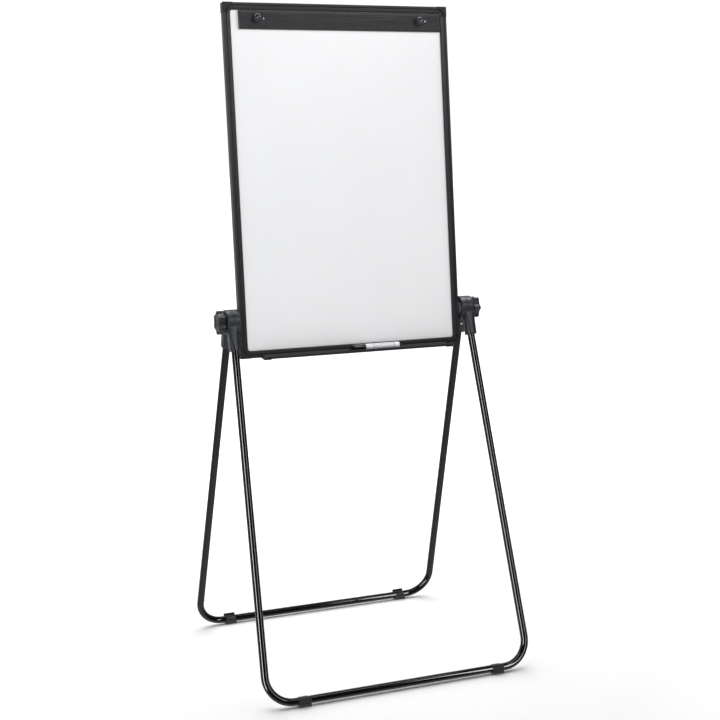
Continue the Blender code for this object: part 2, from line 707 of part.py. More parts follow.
def clamp_outline():
    """Channel section of the clamp bar: (depth forward, height), with a ribbed face."""
    low, high = CLAMP_LOW, CLAMP_HIGH
    front, back, plate = CLAMP_FRONT, CLAMP_BACK, CLAMP_PLATE
    points = [(back, low), (front - 1 * MM, low), (front, low + 1 * MM)]
    ribs = int((high - low - CLAMP_CHAMFER - 4 * MM) / CLAMP_RIB_PITCH)
    for i in range(ribs):
        base = low + 2 * MM + i * CLAMP_RIB_PITCH
        points += [(front, base), (front - CLAMP_RIB_DEPTH, base + 0.7 * MM),
                   (front - CLAMP_RIB_DEPTH, base + 1.3 * MM), (front, base + 2 * MM)]
    points += [(front, high - CLAMP_CHAMFER), (front - CLAMP_CHAMFER, high), (back, high),
               (back, high - CLAMP_RETURN), (back + plate, high - CLAMP_RETURN),
               (back + plate, high - plate), (front - CLAMP_CHAMFER - 1 * MM, high - plate),
               (front - plate - CLAMP_RIB_DEPTH, high - CLAMP_CHAMFER - 1 * MM),
               (front - plate - CLAMP_RIB_DEPTH, low + plate), (back + plate, low + plate),
               (back + plate, low + CLAMP_RETURN), (back, low + CLAMP_RETURN)]
    return points


def slot_outline(centre, radius, stretch):
    points = arc((centre[0] + stretch, centre[1]), radius, -90, 90, 6)
    return points + arc((centre[0] - stretch, centre[1]), radius, 90, 270, 6)


def build_clamp(board, frames):
    """Clamp bar on two studs, with the rubber strips that grip the paper."""
    middle = ACCESSORY_SHIFT
    x_low, x_high = middle - CLAMP_LENGTH / 2, middle + CLAMP_LENGTH / 2
    bar = prism(clamp_outline(), x_low, x_high, TRAY_AXES)
    pin_depth = CLAMP_FRONT - CLAMP_PLATE - CLAMP_RIB_DEPTH
    for name, side in SIDES.items():
        stud_x = side * STUD_X
        slot = slot_outline((stud_x, STUD_HEIGHT), STUD_RADIUS + 0.5 * MM, 3 * MM)
        combine(bar, prism(slot, CLAMP_BACK, CLAMP_FRONT + 5 * MM, FORWARD_AXES))
        pin_centre = (stud_x + PAD_PIN_OFFSET, STUD_HEIGHT)
        combine(bar, rod(2 * MM + GAP, CLAMP_BACK, CLAMP_FRONT + 5 * MM, 12, FORWARD_AXES,
                         pin_centre))
        profile = [(pin_depth - 2 * MM, 0), (pin_depth - 2 * MM, 3 * MM),
                   (pin_depth - GAP, 3 * MM), (pin_depth - GAP, 2 * MM),
                   (CLAMP_FRONT + GAP, 2 * MM), (CLAMP_FRONT + GAP, 2.9 * MM),
                   (CLAMP_FRONT + 1.6 * MM, 2.4 * MM), (CLAMP_FRONT + 2.3 * MM, 1.2 * MM),
                   (CLAMP_FRONT + 2.4 * MM, 0)]
        pin = turned(profile, 16, FORWARD_AXES, pin_centre)
        finish(pin, f"{name}_pad_pin", "zinc_steel", frames["clamp"], 30)
    finish(bar, "clamp_bar", "clamp_black", frames["clamp"], 20)

    surface = CORE_HALF_DEPTH + GAP + SHEET_DEPTH
    strips = (("lower", CLAMP_LOW), ("upper", CLAMP_HIGH - CLAMP_RETURN))
    for level, edge in strips:
        base = edge + 1 * MM
        outline = [(surface + GAP, base), (CLAMP_BACK - GAP, base),
                   (CLAMP_BACK - GAP, base + 10 * MM), (surface + GAP, base + 10 * MM)]
        strip = prism(outline, x_low + 2 * MM, x_high - 2 * MM, TRAY_AXES)
        finish(strip, f"{level}_grip_strip", "soft_rubber", frames["clamp"])

    for name, side in SIDES.items():
        centre = (side * STUD_X, STUD_HEIGHT)
        back = -surface - GAP
        profile = [(back - 1.6 * MM, 0), (back - 1.4 * MM, 5.5 * MM), (back - 0.6 * MM, 7 * MM),
                   (back, 7 * MM), (back, STUD_RADIUS), (STUD_FRONT - 0.8 * MM, STUD_RADIUS),
                   (STUD_FRONT, STUD_RADIUS - 0.8 * MM), (STUD_FRONT, 0)]
        stud = turned(profile, 16, FORWARD_AXES, centre)
        finish(stud, f"{name}_clamp_stud", "zinc_steel", board, 30)

        start, end = CLAMP_KNOB_SPAN
        bore = STUD_RADIUS + GAP
        profile = [(start, bore), (start, 12 * MM), (start + 0.8 * MM, 12.8 * MM),
                   (start + 5 * MM, 13 * MM), (start + 9 * MM, 12.2 * MM),
                   (end - 3.2 * MM, 10.6 * MM), (end - 0.8 * MM, 10.0 * MM), (end, 9.0 * MM),
                   (end, 7.2 * MM), (end - 1.4 * MM, 5.6 * MM), (end - 1.6 * MM, 0),
                   (STUD_FRONT + 2 * MM, 0), (STUD_FRONT + 2 * MM, bore)]
        knob = clamp_knob(profile, centre)
        finish(knob, f"{name}_clamp_knob", "shiny_black", frames[f"{name}_clamp_knob"], 30)
        offset = Vector((centre[0], 0, centre[1]))
        knob.data.transform(Matrix.Translation(-offset))


def clamp_knob(profile, centre):
    """Domed thumb knob with a blind bore: outer skin first, then the bore is cut."""
    bore_end, bore = profile[-1]
    skin = [(profile[1][0], 0)] + profile[1:-2]
    knob = turned(skin, 28, FORWARD_AXES, centre)
    return combine(knob, rod(bore, profile[0][0] - 5 * MM, bore_end, 16, FORWARD_AXES, centre))


# ---------------------------------------------------------------- tray and marker

def tray_outline(grow=0.0):
    """Section of the marker tray: (depth forward, height).  grow swells it all round."""
    back, front, floor = TRAY_BACK - grow, TRAY_FRONT + grow, TRAY_FLOOR + grow
    flange_top = -BOARD_DROP + 8.5 * MM + grow
    flange_front = TRAY_BACK + 1.6 * MM + grow
    lip_back = TRAY_FRONT - 3 * MM - grow
    lip_top = TRAY_FLOOR + 2.3 * MM + grow
    underside = TRAY_FLOOR - 2.2 * MM - grow
    skirt = TRAY_FLOOR - 6 * MM - grow
    return [(back, flange_top), (flange_front, flange_top), (flange_front, floor),
            (lip_back, floor), (lip_back, lip_top - 0.5 * MM), (lip_back + 0.6 * MM, lip_top),
            (front - 0.8 * MM, lip_top), (front, lip_top - 0.8 * MM), (front, skirt + 0.8 * MM),
            (front - 0.8 * MM, skirt), (lip_back + 0.6 * MM, skirt), (lip_back, underside),
            (back, underside)]


def tray_cap_outline():
    """Side face of a tray end cap, from the rail to just past the tray's front lip."""
    back, front = TRAY_BACK, TRAY_FRONT + 1.4 * MM
    return [(back, -99.2 * MM), (back + 4 * MM, -99.2 * MM), (front - 2 * MM, -102.9 * MM),
            (front - 0.6 * MM, -103.3 * MM), (front, -104.4 * MM), (front, -112.6 * MM),
            (front - 0.8 * MM, -114.2 * MM), (front - 2.6 * MM, -114.9 * MM),
            (front - 8 * MM, -114.8 * MM), (back + 3 * MM, -110.6 * MM), (back, -110.6 * MM)]


def build_tray(frame):
    """Extruded tray under the bottom rail, and the two caps pushed over its ends."""
    middle = ACCESSORY_SHIFT
    half = TRAY_LENGTH / 2
    tray = prism(tray_outline(), middle - half, middle + half, TRAY_AXES)
    finish(tray, "marker_tray", "satin_black_rail", frame, 20)

    flange_front = TRAY_BACK + 1.6 * MM + GAP
    lip_back = TRAY_FRONT - 3 * MM - GAP
    top = -95 * MM
    trough = [(flange_front, top), (flange_front, TRAY_FLOOR + 2 * GAP),
              (lip_back, TRAY_FLOOR + 2 * GAP), (lip_back, top)]
    for name, side in SIDES.items():
        axes = (TRAY_AXES[0], TRAY_AXES[1], UNIT[0] * side)
        tray_end = side * middle + half
        wall_inside = tray_end + GAP
        outside = wall_inside + TRAY_CAP_WALL
        inside = outside - TRAY_CAP_LENGTH
        cap = prism(tray_cap_outline(), inside, outside, axes)
        combine(cap, prism(tray_outline(GAP), inside - 5 * MM, wall_inside, axes))
        combine(cap, prism(trough, inside - 5 * MM, wall_inside, axes))
        finish(cap, f"tray_{name}_cap", "textured_black", frame, 20)


def build_marker(frames):
    """Dry-wipe marker lying in the tray, with its pull-off cap towards the left."""
    axes = (UNIT[1], UNIT[2], UNIT[0])
    radius = MARKER_RADIUS
    centre = (-(TRAY_BACK + 1.6 * MM + GAP + radius), TRAY_FLOOR + GAP + radius)
    neck = 6.5 * MM
    neck_start = MARKER_MOUTH - 19 * MM
    body = MARKER_MOUTH + 2 * GAP
    profile = [(neck_start, 0), (neck_start, 4.2 * MM), (neck_start + 4 * MM, neck), (body, neck),
               (body, radius - 0.4 * MM), (body + 1 * MM, radius),
               (MARKER_END - 2.5 * MM, radius), (MARKER_END - 0.7 * MM, radius - 1 * MM),
               (MARKER_END, radius - 3 * MM), (MARKER_END, 0)]
    barrel = turned(profile, 28, axes, centre)
    seat = 2.6 * MM
    combine(barrel, rod(seat + GAP, neck_start - 5 * MM, neck_start + 6 * MM, 16, axes, centre))
    finish(barrel, "marker_barrel", "marker_white", frames["marker"], 30)

    tip = neck_start - 6 * MM
    profile = [(tip, 0), (tip, 1.2 * MM), (tip + 2 * MM, seat), (neck_start + 5.5 * MM, seat),
               (neck_start + 5.5 * MM, 0)]
    finish(turned(profile, 16, axes, centre), "marker_nib", "felt", frames["marker"], 30)

    profile = [(MARKER_START, 0), (MARKER_START, radius - 3 * MM),
               (MARKER_START + 0.8 * MM, radius - 1.2 * MM),
               (MARKER_START + 2.5 * MM, radius - 0.3 * MM), (MARKER_MOUTH, radius),
               (MARKER_MOUTH, 0)]
    cap = turned(profile, 28, axes, centre)
    combine(cap, rod(neck + GAP, MARKER_START + 2.5 * MM, MARKER_MOUTH + 5 * MM, 20, axes, centre))
    finish(cap, "marker_cap", "shiny_black", frames["marker_cap"], 30)


# ---------------------------------------------------------------- assembly

def build_frames():
    """Empties that carry the moving assemblies, on the axes they move about."""
    axis = (0, 0, HUB_HEIGHT)
    board = frame_empty("board_frame", axis, -BOARD_TILT)
    frames = {
        "front": frame_empty("front_leg_frame", axis, -LEG_ANGLE),
        "rear": frame_empty("rear_leg_frame", axis, LEG_ANGLE),
        "board": board,
        "clamp": frame_empty("clamp_frame", parent=board),
        "marker": frame_empty("marker_frame", parent=board),
        "marker_cap": frame_empty("marker_cap_frame", parent=board),
    }
    for name, side in SIDES.items():
        frames[f"{name}_knob"] = frame_empty(f"{name}_knob_frame", parent=board)
        frames[f"{name}_clamp_knob"] = frame_empty(
            f"{name}_clamp_knob_frame", (side * STUD_X, 0, STUD_HEIGHT), parent=board)
    return frames


def main():
    clear_scene()
    frames = build_frames()
    board = frames["board"]
    build_rails(board)
    build_corners(board)
    build_panel(board)
    build_pivots(board)
    build_legs(frames)
    build_clutch(frames["front"])
    build_clutch_knobs(frames)
    build_clamp(board, frames)
    build_tray(board)
    build_marker(frames)


main()
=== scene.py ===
"""Folding whiteboard easel: the visible pieces, their materials, the light and the camera.

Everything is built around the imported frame, in metres.  The board's pieces are made in the
board's own axes (x across, y to its back, z up the board, from the hub axis), and the tubes,
hubs and rivets in the axes of their leg (x across, y to the back, z up the tube, from the
hub axis).  The clutch knobs and the floor clips are made upright and then moved into place.
"""
import json
from math import atan2, cos, pi, radians, sin, tan

import bmesh
import bpy
from mathutils import Matrix, Vector

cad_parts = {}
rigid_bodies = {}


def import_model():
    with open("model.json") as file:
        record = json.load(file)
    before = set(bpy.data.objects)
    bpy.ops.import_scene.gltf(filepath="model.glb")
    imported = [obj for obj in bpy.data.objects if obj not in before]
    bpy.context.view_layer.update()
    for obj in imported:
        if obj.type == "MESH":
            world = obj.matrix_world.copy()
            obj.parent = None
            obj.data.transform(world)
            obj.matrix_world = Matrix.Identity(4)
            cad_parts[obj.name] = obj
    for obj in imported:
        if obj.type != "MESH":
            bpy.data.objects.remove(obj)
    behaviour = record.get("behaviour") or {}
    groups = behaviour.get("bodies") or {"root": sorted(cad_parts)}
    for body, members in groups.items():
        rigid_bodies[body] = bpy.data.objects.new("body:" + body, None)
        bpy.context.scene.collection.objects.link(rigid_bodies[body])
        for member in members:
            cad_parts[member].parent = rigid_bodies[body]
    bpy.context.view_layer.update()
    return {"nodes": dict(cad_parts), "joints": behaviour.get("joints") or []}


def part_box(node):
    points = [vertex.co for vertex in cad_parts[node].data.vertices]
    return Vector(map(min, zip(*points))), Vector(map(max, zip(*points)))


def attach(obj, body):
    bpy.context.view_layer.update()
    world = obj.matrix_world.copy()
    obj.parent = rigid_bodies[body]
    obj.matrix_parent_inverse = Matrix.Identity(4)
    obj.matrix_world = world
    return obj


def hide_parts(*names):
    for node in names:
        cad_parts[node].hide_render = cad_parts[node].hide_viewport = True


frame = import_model()
nodes = frame["nodes"]
joints = {joint["name"]: joint for joint in frame["joints"]}

MM = 0.001
GAP = 0.3 * MM
X, Y, Z = Vector((1, 0, 0)), Vector((0, 1, 0)), Vector((0, 0, 1))
LEFT, RIGHT = -1, 1
SIDES = {"left": LEFT, "right": RIGHT}
FRONT, REAR = -1, 1
LEGS = {"front": FRONT, "rear": REAR}

# Places that come from the frame
HUB = Vector(joints["board_turn"]["pos_m"])
BOARD_UP = Vector(joints["marker_lift"]["axis"])
LEG_ANGLE = radians(-joints["rear_leg_fold"]["range_deg"][0]) / 2
HALF_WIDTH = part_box("right_rail")[1].x
BOARD_TILT = atan2(BOARD_UP.y, BOARD_UP.z)

IN_BOARD = Matrix.Translation(HUB) @ Matrix.Rotation(-BOARD_TILT, 4, "X")
IN_LEG = {
    "front": Matrix.Translation(HUB) @ Matrix.Rotation(-LEG_ANGLE, 4, "X"),
    "rear": Matrix.Translation(HUB) @ Matrix.Rotation(LEG_ANGLE, 4, "X"),
}


def board_height(node, end):
    """Height up the board, from the hub axis, of a node's lowest (0) or highest (1) edge."""
    heights = [(v.co - HUB).dot(BOARD_UP) for v in nodes[node].data.vertices]
    return (min(heights), max(heights))[end]


BOARD_BOTTOM = board_height("bottom_rail", 0)
BOARD_TOP = board_height("top_rail", 1)

# Rails and corner caps: distances in from the board's edge, depths from its mid-plane
RAIL_FACE = 21.4 * MM
RAIL_DEPTH = 11 * MM
GROOVE_START = 7.3 * MM
GROOVE_END = 10.6 * MM
GROOVE_DEPTH = 4.2 * MM
SIDE_GROOVE_DEPTH = 2.4 * MM          # shallower, in front of the anchor blocks
SLOT_START = 12.4 * MM                # the slot that holds the panel's edge
SLOT_HALF_DEPTH = 4.4 * MM
CAP_SIZE = 30 * MM

# Legs: the drop along a leg is measured from the hub axis
TUBE_RADIUS = 11 * MM
TUBE_TOP = 40 * MM
LEG_OFFSET = 17.5 * MM
LEG_X_HUB = HALF_WIDTH + 25.5 * MM
LEG_X_FLOOR = HALF_WIDTH + 56 * MM
BEND_RADIUS = 78 * MM
TUBE_FLOOR_HEIGHT = 15 * MM
LEG_LENGTH = (HUB.z - TUBE_FLOOR_HEIGHT + LEG_OFFSET * sin(LEG_ANGLE)) / cos(LEG_ANGLE)

# Hubs, rivets and clutch knobs: spans run outboard from the board's edge
SOCKET_LENGTH = 88.5 * MM
SOCKET_BACK = 4 * MM
SOCKET_FRONT = 31 * MM
SOCKET_HALF = 15 * MM
SOCKET_EDGE = 1.3 * MM
RIVET_DROP = 57 * MM
DISC_RADIUS = 36 * MM
INNER_DISC = (2.5 * MM, 22.2 * MM)
OUTER_DISC = (22.8 * MM, 41.6 * MM)
KNOB_SPAN = (43.8 * MM, 66.0 * MM)
BOLT_HOLE = 5.3 * MM

# Tray and marker: depths forward of the board's mid-plane
TRAY_WALL = 1.6 * MM
TRAY_BACK = RAIL_DEPTH + GAP
TRAY_FLANGE = TRAY_BACK + TRAY_WALL
TRAY_FRONT = 45 * MM
TRAY_LIP = TRAY_FRONT - 3 * MM
TRAY_FLOOR = BOARD_BOTTOM + 2.2 * MM
MARKER_RADIUS = 8.75 * MM
MARKER_MOUTH = 32 * MM


# ---------------------------------------------------------------- mesh helpers

def object_from(bm, name="shape"):
    """Linked object with the mesh, its faces turned outwards."""
    bmesh.ops.recalc_face_normals(bm, faces=bm.faces)
    mesh = bpy.data.meshes.new(name)
    bm.to_mesh(mesh)
    bm.free()
    obj = bpy.data.objects.new(name, mesh)
    bpy.context.scene.collection.objects.link(obj)
    return obj


def loft(sections):
    """Skin a stack of equal-length loops and cap its two ends."""
    bm = bmesh.new()
    rings = [[bm.verts.new(point) for point in section] for section in sections]
    for low, high in zip(rings, rings[1:]):
        for i in range(len(low)):
            j = (i + 1) % len(low)
            bm.faces.new((low[i], low[j], high[j], high[i]))
    bm.faces.new(rings[0])
    bm.faces.new(rings[-1])
    return object_from(bm)


def prism(outline, start, end, axes):
    """Push an outline in the first two axes along the third one."""
    u, v, w = axes
    return loft([[u * a + v * b + w * depth for a, b in outline] for depth in (start, end)])


def arc(centre, radius, start, end, steps):
    """Points of an arc from one angle to the other, in degrees."""
    angles = [radians(start + (end - start) * i / steps) for i in range(steps + 1)]
    return [(centre[0] + radius * cos(a), centre[1] + radius * sin(a)) for a in angles]


def rectangle(left, low, right, high):
    return [(left, low), (right, low), (right, high), (left, high)]


def turned(profile, steps, axes, centre=(0.0, 0.0), wave=None):
    """Revolve (depth, radius) points; a radius of 0 closes each end.  wave scales the radius."""
    u, v, w = axes
    bm = bmesh.new()
    rings = []
    for depth, radius in profile:
        if radius == 0:
            rings.append([bm.verts.new(u * centre[0] + v * centre[1] + w * depth)] * steps)
            continue
        ring = []
        for i in range(steps):
            angle = 2 * pi * i / steps
            size = radius * (wave(depth, angle) if wave else 1.0)
            a, b = centre[0] + size * cos(angle), centre[1] + size * sin(angle)
            ring.append(bm.verts.new(u * a + v * b + w * depth))
        rings.append(ring)
    for low, high in zip(rings, rings[1:]):
        for i in range(steps):
            j = (i + 1) % steps
            corners = list(dict.fromkeys((low[i], low[j], high[j], high[i])))
            bm.faces.new(corners)
    return object_from(bm)


def rod(radius, start, end, steps, axes, centre=(0.0, 0.0)):
    return turned([(start, 0), (start, radius), (end, radius), (end, 0)], steps, axes, centre)


def rounded(points, radius, steps):
    """Round every corner of a closed outline with an arc-like curve of that reach."""
    result = []
    count = len(points)
    for i, point in enumerate(points):
        here = Vector(point)
        before, after = Vector(points[i - 1]), Vector(points[(i + 1) % count])
        reach = min(radius, (before - here).length * 0.45, (after - here).length * 0.45)
        start = here + (before - here).normalized() * reach
        end = here + (after - here).normalized() * reach
        for k in range(steps + 1):
            t = k / steps
            result.append(tuple(start * (1 - t) ** 2 + here * (2 * t * (1 - t)) + end * t * t))
    return result


def combine(target, tool, operation="DIFFERENCE"):
    """Cut the tool away from the target, or join it on, and delete the tool."""
    modifier = target.modifiers.new("Combine", "BOOLEAN")
    modifier.operation = operation
    modifier.object = tool
    graph = bpy.context.evaluated_depsgraph_get()
    mesh = bpy.data.meshes.new_from_object(target.evaluated_get(graph))
    target.modifiers.clear()
    target.data = mesh
    bpy.data.objects.remove(tool)


def bevel(obj, width, segments, angle):
    """Round the edges that are sharper than an angle in degrees."""
    modifier = obj.modifiers.new("Bevel", "BEVEL")
    modifier.width = width
    modifier.segments = segments
    modifier.limit_method = "ANGLE"
    modifier.angle_limit = radians(angle)
    modifier.harden_normals = True


FORWARD_AXES = (X, Z, -Y)            # (x, height, depth forward)
PROFILE_AXES = (-Y, Z, X)            # (depth forward, height, x)
ALONG_AXES = (Y, Z, X)               # (depth back, height, x)


def outboard_axes(side):
    """Axes of what turns about the hub axis: (depth back, height, outboard)."""
    return (Y, Z, X * side)


def outboard(span):
    """Distances from the board's middle of a span that starts at its edge."""
    return HALF_WIDTH + span[0], HALF_WIDTH + span[1]


# ---------------------------------------------------------------- materials

def map_range(tree, source, start, stop, low, high):
    """Node that maps start to stop onto low to high."""
    ramp = tree.nodes.new("ShaderNodeMapRange")
    for socket, value in (("From Min", start), ("From Max", stop), ("To Min", low), ("To Max", high)):
        ramp.inputs[socket].default_value = value
    tree.links.new(source, ramp.inputs["Value"])
    return ramp


class Paint:
    """A node material, built up one procedural layer at a time."""

    def __init__(self, name, colour, roughness, metallic=0.0, specular=0.5):
        self.material = bpy.data.materials.new(name)
        self.material.use_nodes = True
        self.tree = self.material.node_tree
        self.shader = self.tree.nodes["Principled BSDF"]
        self.colour = (*colour, 1.0)
        self.roughness = roughness
        self.set("Base Color", self.colour)
        self.set("Roughness", roughness)
        self.set("Metallic", metallic)
        self.set("Specular IOR Level", specular)
        self.height = None

    def set(self, socket, value):
        self.shader.inputs[socket].default_value = value

    def node(self, kind, **inputs):
        made = self.tree.nodes.new(kind)
        for socket, value in inputs.items():
            made.inputs[socket.replace("_", " ")].default_value = value
        return made

    def link(self, source, target):
        self.tree.links.new(source, target)

    def noise(self, scale, detail=3.0, stretch=(1, 1, 1)):
        """Noise in the object's own metres, stretched along an axis if asked."""
        coordinates = self.node("ShaderNodeTexCoord")
        mapping = self.node("ShaderNodeMapping", Scale=stretch)
        texture = self.node("ShaderNodeTexNoise", Scale=scale, Detail=detail)
        self.link(coordinates.outputs["Object"], mapping.inputs["Vector"])
        self.link(mapping.outputs["Vector"], texture.inputs["Vector"])
        return texture.outputs["Fac"]

    def ranged(self, source, low, high, start=0.3, stop=0.7):
        """Map a noise's usual span, or another one, onto low to high."""
        return map_range(self.tree, source, start, stop, low, high).outputs["Result"]

    def mix(self, factor, first, second):
        """Blend two colours, each given as a value or as another node's output."""
        mixer = self.node("ShaderNodeMix")
        mixer.data_type = "RGBA"
        self.link(factor, mixer.inputs["Factor"])
        for socket, value in (("A", first), ("B", second)):
            target = [s for s in mixer.inputs if s.name == socket and s.type == "RGBA"][0]
            if isinstance(value, tuple):
                target.default_value = value
            else:
                self.link(value, target)
        return [s for s in mixer.outputs if s.type == "RGBA"][0]

    def vary_colour(self, source, change):
        """Shade the base colour lighter and darker by a share of itself."""
        low = tuple(c * (1 - change) for c in self.colour[:3]) + (1.0,)
        high = tuple(min(1.0, c * (1 + change)) for c in self.colour[:3]) + (1.0,)
        factor = self.ranged(source, 0.0, 1.0)
        self.link(self.mix(factor, low, high), self.shader.inputs["Base Color"])

    def vary_roughness(self, source, change):
        """Spread the roughness by a step either way."""
        spread = self.ranged(source, self.roughness - change, self.roughness + change)
        self.link(spread, self.shader.inputs["Roughness"])

    def bump(self, source, distance, strength):
        """Add a layer of relief, its height in metres."""
        bump = self.node("ShaderNodeBump", Strength=strength, Distance=distance)
        self.link(source, bump.inputs["Height"])
        if self.height:
            self.link(self.height, bump.inputs["Normal"])
        self.height = bump.outputs["Normal"]
        self.link(self.height, self.shader.inputs["Normal"])


def moulded_plastic(name, colour, roughness, grain, depth, specular):
    """Moulded plastic with a fine spark-eroded grain and faint flow marks."""
    paint = Paint(name, colour, roughness, specular=specular)
    paint.vary_colour(paint.noise(55, 4), 0.12)
    paint.vary_roughness(paint.noise(160, 4), 0.06)
    paint.bump(paint.noise(grain, 2), depth, 0.55)
    return paint.material


def coated_metal(name, colour, roughness, along, specular):
    """Coated metal with fine lines drawn along its length, the axis with that index."""
    stretch = [1.0, 1.0, 1.0]
    stretch[along] = 0.02
    paint = Paint(name, colour, roughness, specular=specular)
    lines = paint.noise(2200, 3, tuple(stretch))
    paint.vary_colour(lines, 0.16)
    paint.vary_roughness(paint.noise(420, 3, tuple(stretch)), 0.07)
    paint.bump(lines, 0.012 * MM, 0.5)
    return paint.material


def gloss_coat(name, colour, roughness, coat, specular=0.5, peel=0.004 * MM):
    """Powder coat or gloss plastic: smooth, with a trace of orange peel."""
    paint = Paint(name, colour, roughness, specular=specular)
    paint.set("Coat Weight", coat)
    paint.set("Coat Roughness", 0.06)
    paint.vary_colour(paint.noise(70, 3), 0.10)
    paint.vary_roughness(paint.noise(240, 3), 0.03)
    paint.bump(paint.noise(260, 2), peel, 0.2)
    return paint.material


def bright_steel(name, colour, roughness):
    """Zinc-plated steel with a cloudy passivated film."""
    paint = Paint(name, colour, roughness, metallic=1.0)
    paint.vary_colour(paint.noise(380, 4), 0.12)
    paint.vary_roughness(paint.noise(900, 3), 0.10)
    paint.bump(paint.noise(1800, 2), 0.02 * MM, 0.3)
    return paint.material


def writing_film(name):
    """Dry-wipe film: hard, glossy white, with the faint haze that wiping leaves."""
    paint = Paint(name, (0.80, 0.805, 0.815), 0.33)
    paint.set("Coat Weight", 0.12)
    paint.set("Coat Roughness", 0.12)
    haze = paint.noise(7, 5, (1.0, 1.0, 0.6))
    paint.vary_colour(haze, 0.012)
    paint.vary_roughness(paint.noise(16, 5, (0.4, 1.0, 1.6)), 0.012)
    paint.bump(paint.noise(320, 2), 0.008 * MM, 0.15)
    return paint.material


def pressed_board(name):
    """Pressed wood fibre, seen only where the writing sheets leave it bare."""
    paint = Paint(name, (0.42, 0.31, 0.20), 0.8)
    fibres = paint.noise(900, 5, (1.0, 3.0, 1.0))
    paint.vary_colour(fibres, 0.35)
    paint.bump(fibres, 0.1 * MM, 0.6)
    return paint.material


def soft_matt(name, colour, grain):
    """Rubber, felt or friction fibre: dull and finely pitted."""
    paint = Paint(name, colour, 0.85, specular=0.3)
    speckle = paint.noise(grain, 4)
    paint.vary_colour(speckle, 0.3)
    paint.bump(speckle, 0.08 * MM, 0.7)
    return paint.material


def marker_barrel_paint(name):
    """White barrel with a plain blue-grey wrap that has a darker line at each end."""
    paint = Paint(name, (0.88, 0.88, 0.89), 0.3)
    paint.set("Coat Weight", 0.3)
    coordinates = paint.node("ShaderNodeTexCoord")
    split = paint.node("ShaderNodeSeparateXYZ")
    paint.link(coordinates.outputs["Object"], split.inputs["Vector"])
    along = split.outputs["X"]
    colour = paint.colour
    wrap_start, wrap_end, half_line = 57 * MM, 123 * MM, 1.0 * MM
    wrap_centre, half_wrap = (wrap_start + wrap_end) / 2, (wrap_end - wrap_start) / 2
    for centre, half, tint in ((wrap_centre, half_wrap, (0.78, 0.80, 0.83, 1)),
                               (wrap_start, half_line, (0.42, 0.46, 0.54, 1)),
                               (wrap_end, half_line, (0.30, 0.34, 0.42, 1))):
        compare = paint.node("ShaderNodeMath")
        compare.operation = "COMPARE"
        compare.inputs[1].default_value = centre
        compare.inputs[2].default_value = half
        paint.link(along, compare.inputs[0])
        colour = paint.mix(compare.outputs["Value"], colour, tint)
    paint.link(colour, paint.shader.inputs["Base Color"])
    paint.vary_roughness(paint.noise(300, 3), 0.05)
    paint.bump(paint.noise(500, 2), 0.01 * MM, 0.2)
    return paint.material


PAINTS = {
    "tube": gloss_coat("tube_gloss_black", (0.0012, 0.0012, 0.0014), 0.08, 0.0, 0.4, 0.0006 * MM),
    # The rails across the board and the tray take a copy of the rail paint that is a shade darker and
    # duller, which is painted shade; the two copies also draw their lines along different axes.
    "rail_upright": coated_metal("rail_satin_black_upright", (0.0130, 0.0132, 0.0156), 0.44, 2, 0.47),
    "rail_across_shaded": coated_metal("rail_satin_black_across", (0.0125, 0.0127, 0.0150), 0.46, 0, 0.42),
    "clamp": coated_metal("clamp_satin_black", (0.0165, 0.0167, 0.0195), 0.45, 0, 0.45),
    "corner": moulded_plastic("corner_textured_black", (0.011, 0.011, 0.013), 0.52, 1900, 0.07 * MM, 0.4),
    "hub": moulded_plastic("hub_dark_grey", (0.022, 0.0245, 0.031), 0.40, 2400, 0.04 * MM, 0.42),
    "knob": moulded_plastic("knob_dark_grey", (0.011, 0.012, 0.015), 0.42, 1500, 0.08 * MM, 0.4),
    "foot": moulded_plastic("foot_dark_grey", (0.022, 0.022, 0.024), 0.45, 2000, 0.05 * MM, 0.5),
    "thumb_knob": gloss_coat("thumb_knob_black", (0.020, 0.022, 0.028), 0.26, 0.2),
    "board": writing_film("dry_wipe_film"),
    "core": pressed_board("pressed_fibre_board"),
    "zinc": bright_steel("bright_zinc", (0.78, 0.78, 0.76), 0.45),
    "dark_steel": bright_steel("dark_oxide_steel", (0.10, 0.10, 0.10), 0.4),
    "fibre": soft_matt("friction_fibre", (0.28, 0.08, 0.05), 1500),
    "rubber": soft_matt("grip_rubber", (0.02, 0.02, 0.02), 1100),
    "felt": soft_matt("marker_felt", (0.012, 0.012, 0.015), 2600),
    "marker_cap": gloss_coat("marker_cap_black", (0.010, 0.011, 0.014), 0.16, 0.3),
    "marker_barrel": marker_barrel_paint("marker_barrel_white"),
}


def add(obj, name, place_in, body, paint, stands_for, smooth=35.0):
    """Move a finished piece into the object's frame, paint it and hang it on its body."""
    obj.name = name
    obj.data.name = name
    obj.data.transform(place_in)
    obj.data.materials.clear()
    obj.data.materials.append(PAINTS[paint])
    obj.data.shade_smooth()
    obj.data.set_sharp_from_angle(angle=radians(smooth))
    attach(obj, body)
    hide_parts(*stands_for)


# ---------------------------------------------------------------- frame nodes that stay

def paint_frame_nodes():
    """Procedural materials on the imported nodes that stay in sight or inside."""
    kept = {
        "board": ("front_writing_sheet", "rear_writing_sheet"),
        "core": ("board_core",),
        "rubber": ("upper_grip_strip", "lower_grip_strip"),
        "zinc": [f"{side}_{part}" for side in SIDES
                 for part in ("pivot_anchor", "pivot_bolt", "pivot_washer", "clutch_nut", "stop_pin")],
        "dark_steel": [f"{side}_knob_washer" for side in SIDES],
        "fibre": [f"{side}_friction_ring" for side in SIDES],
    }
    for paint, names in kept.items():
        for name in names:
            node = nodes[name]
            node.data.materials.clear()
            node.data.materials.append(PAINTS[paint])


# ---------------------------------------------------------------- rails and corner caps

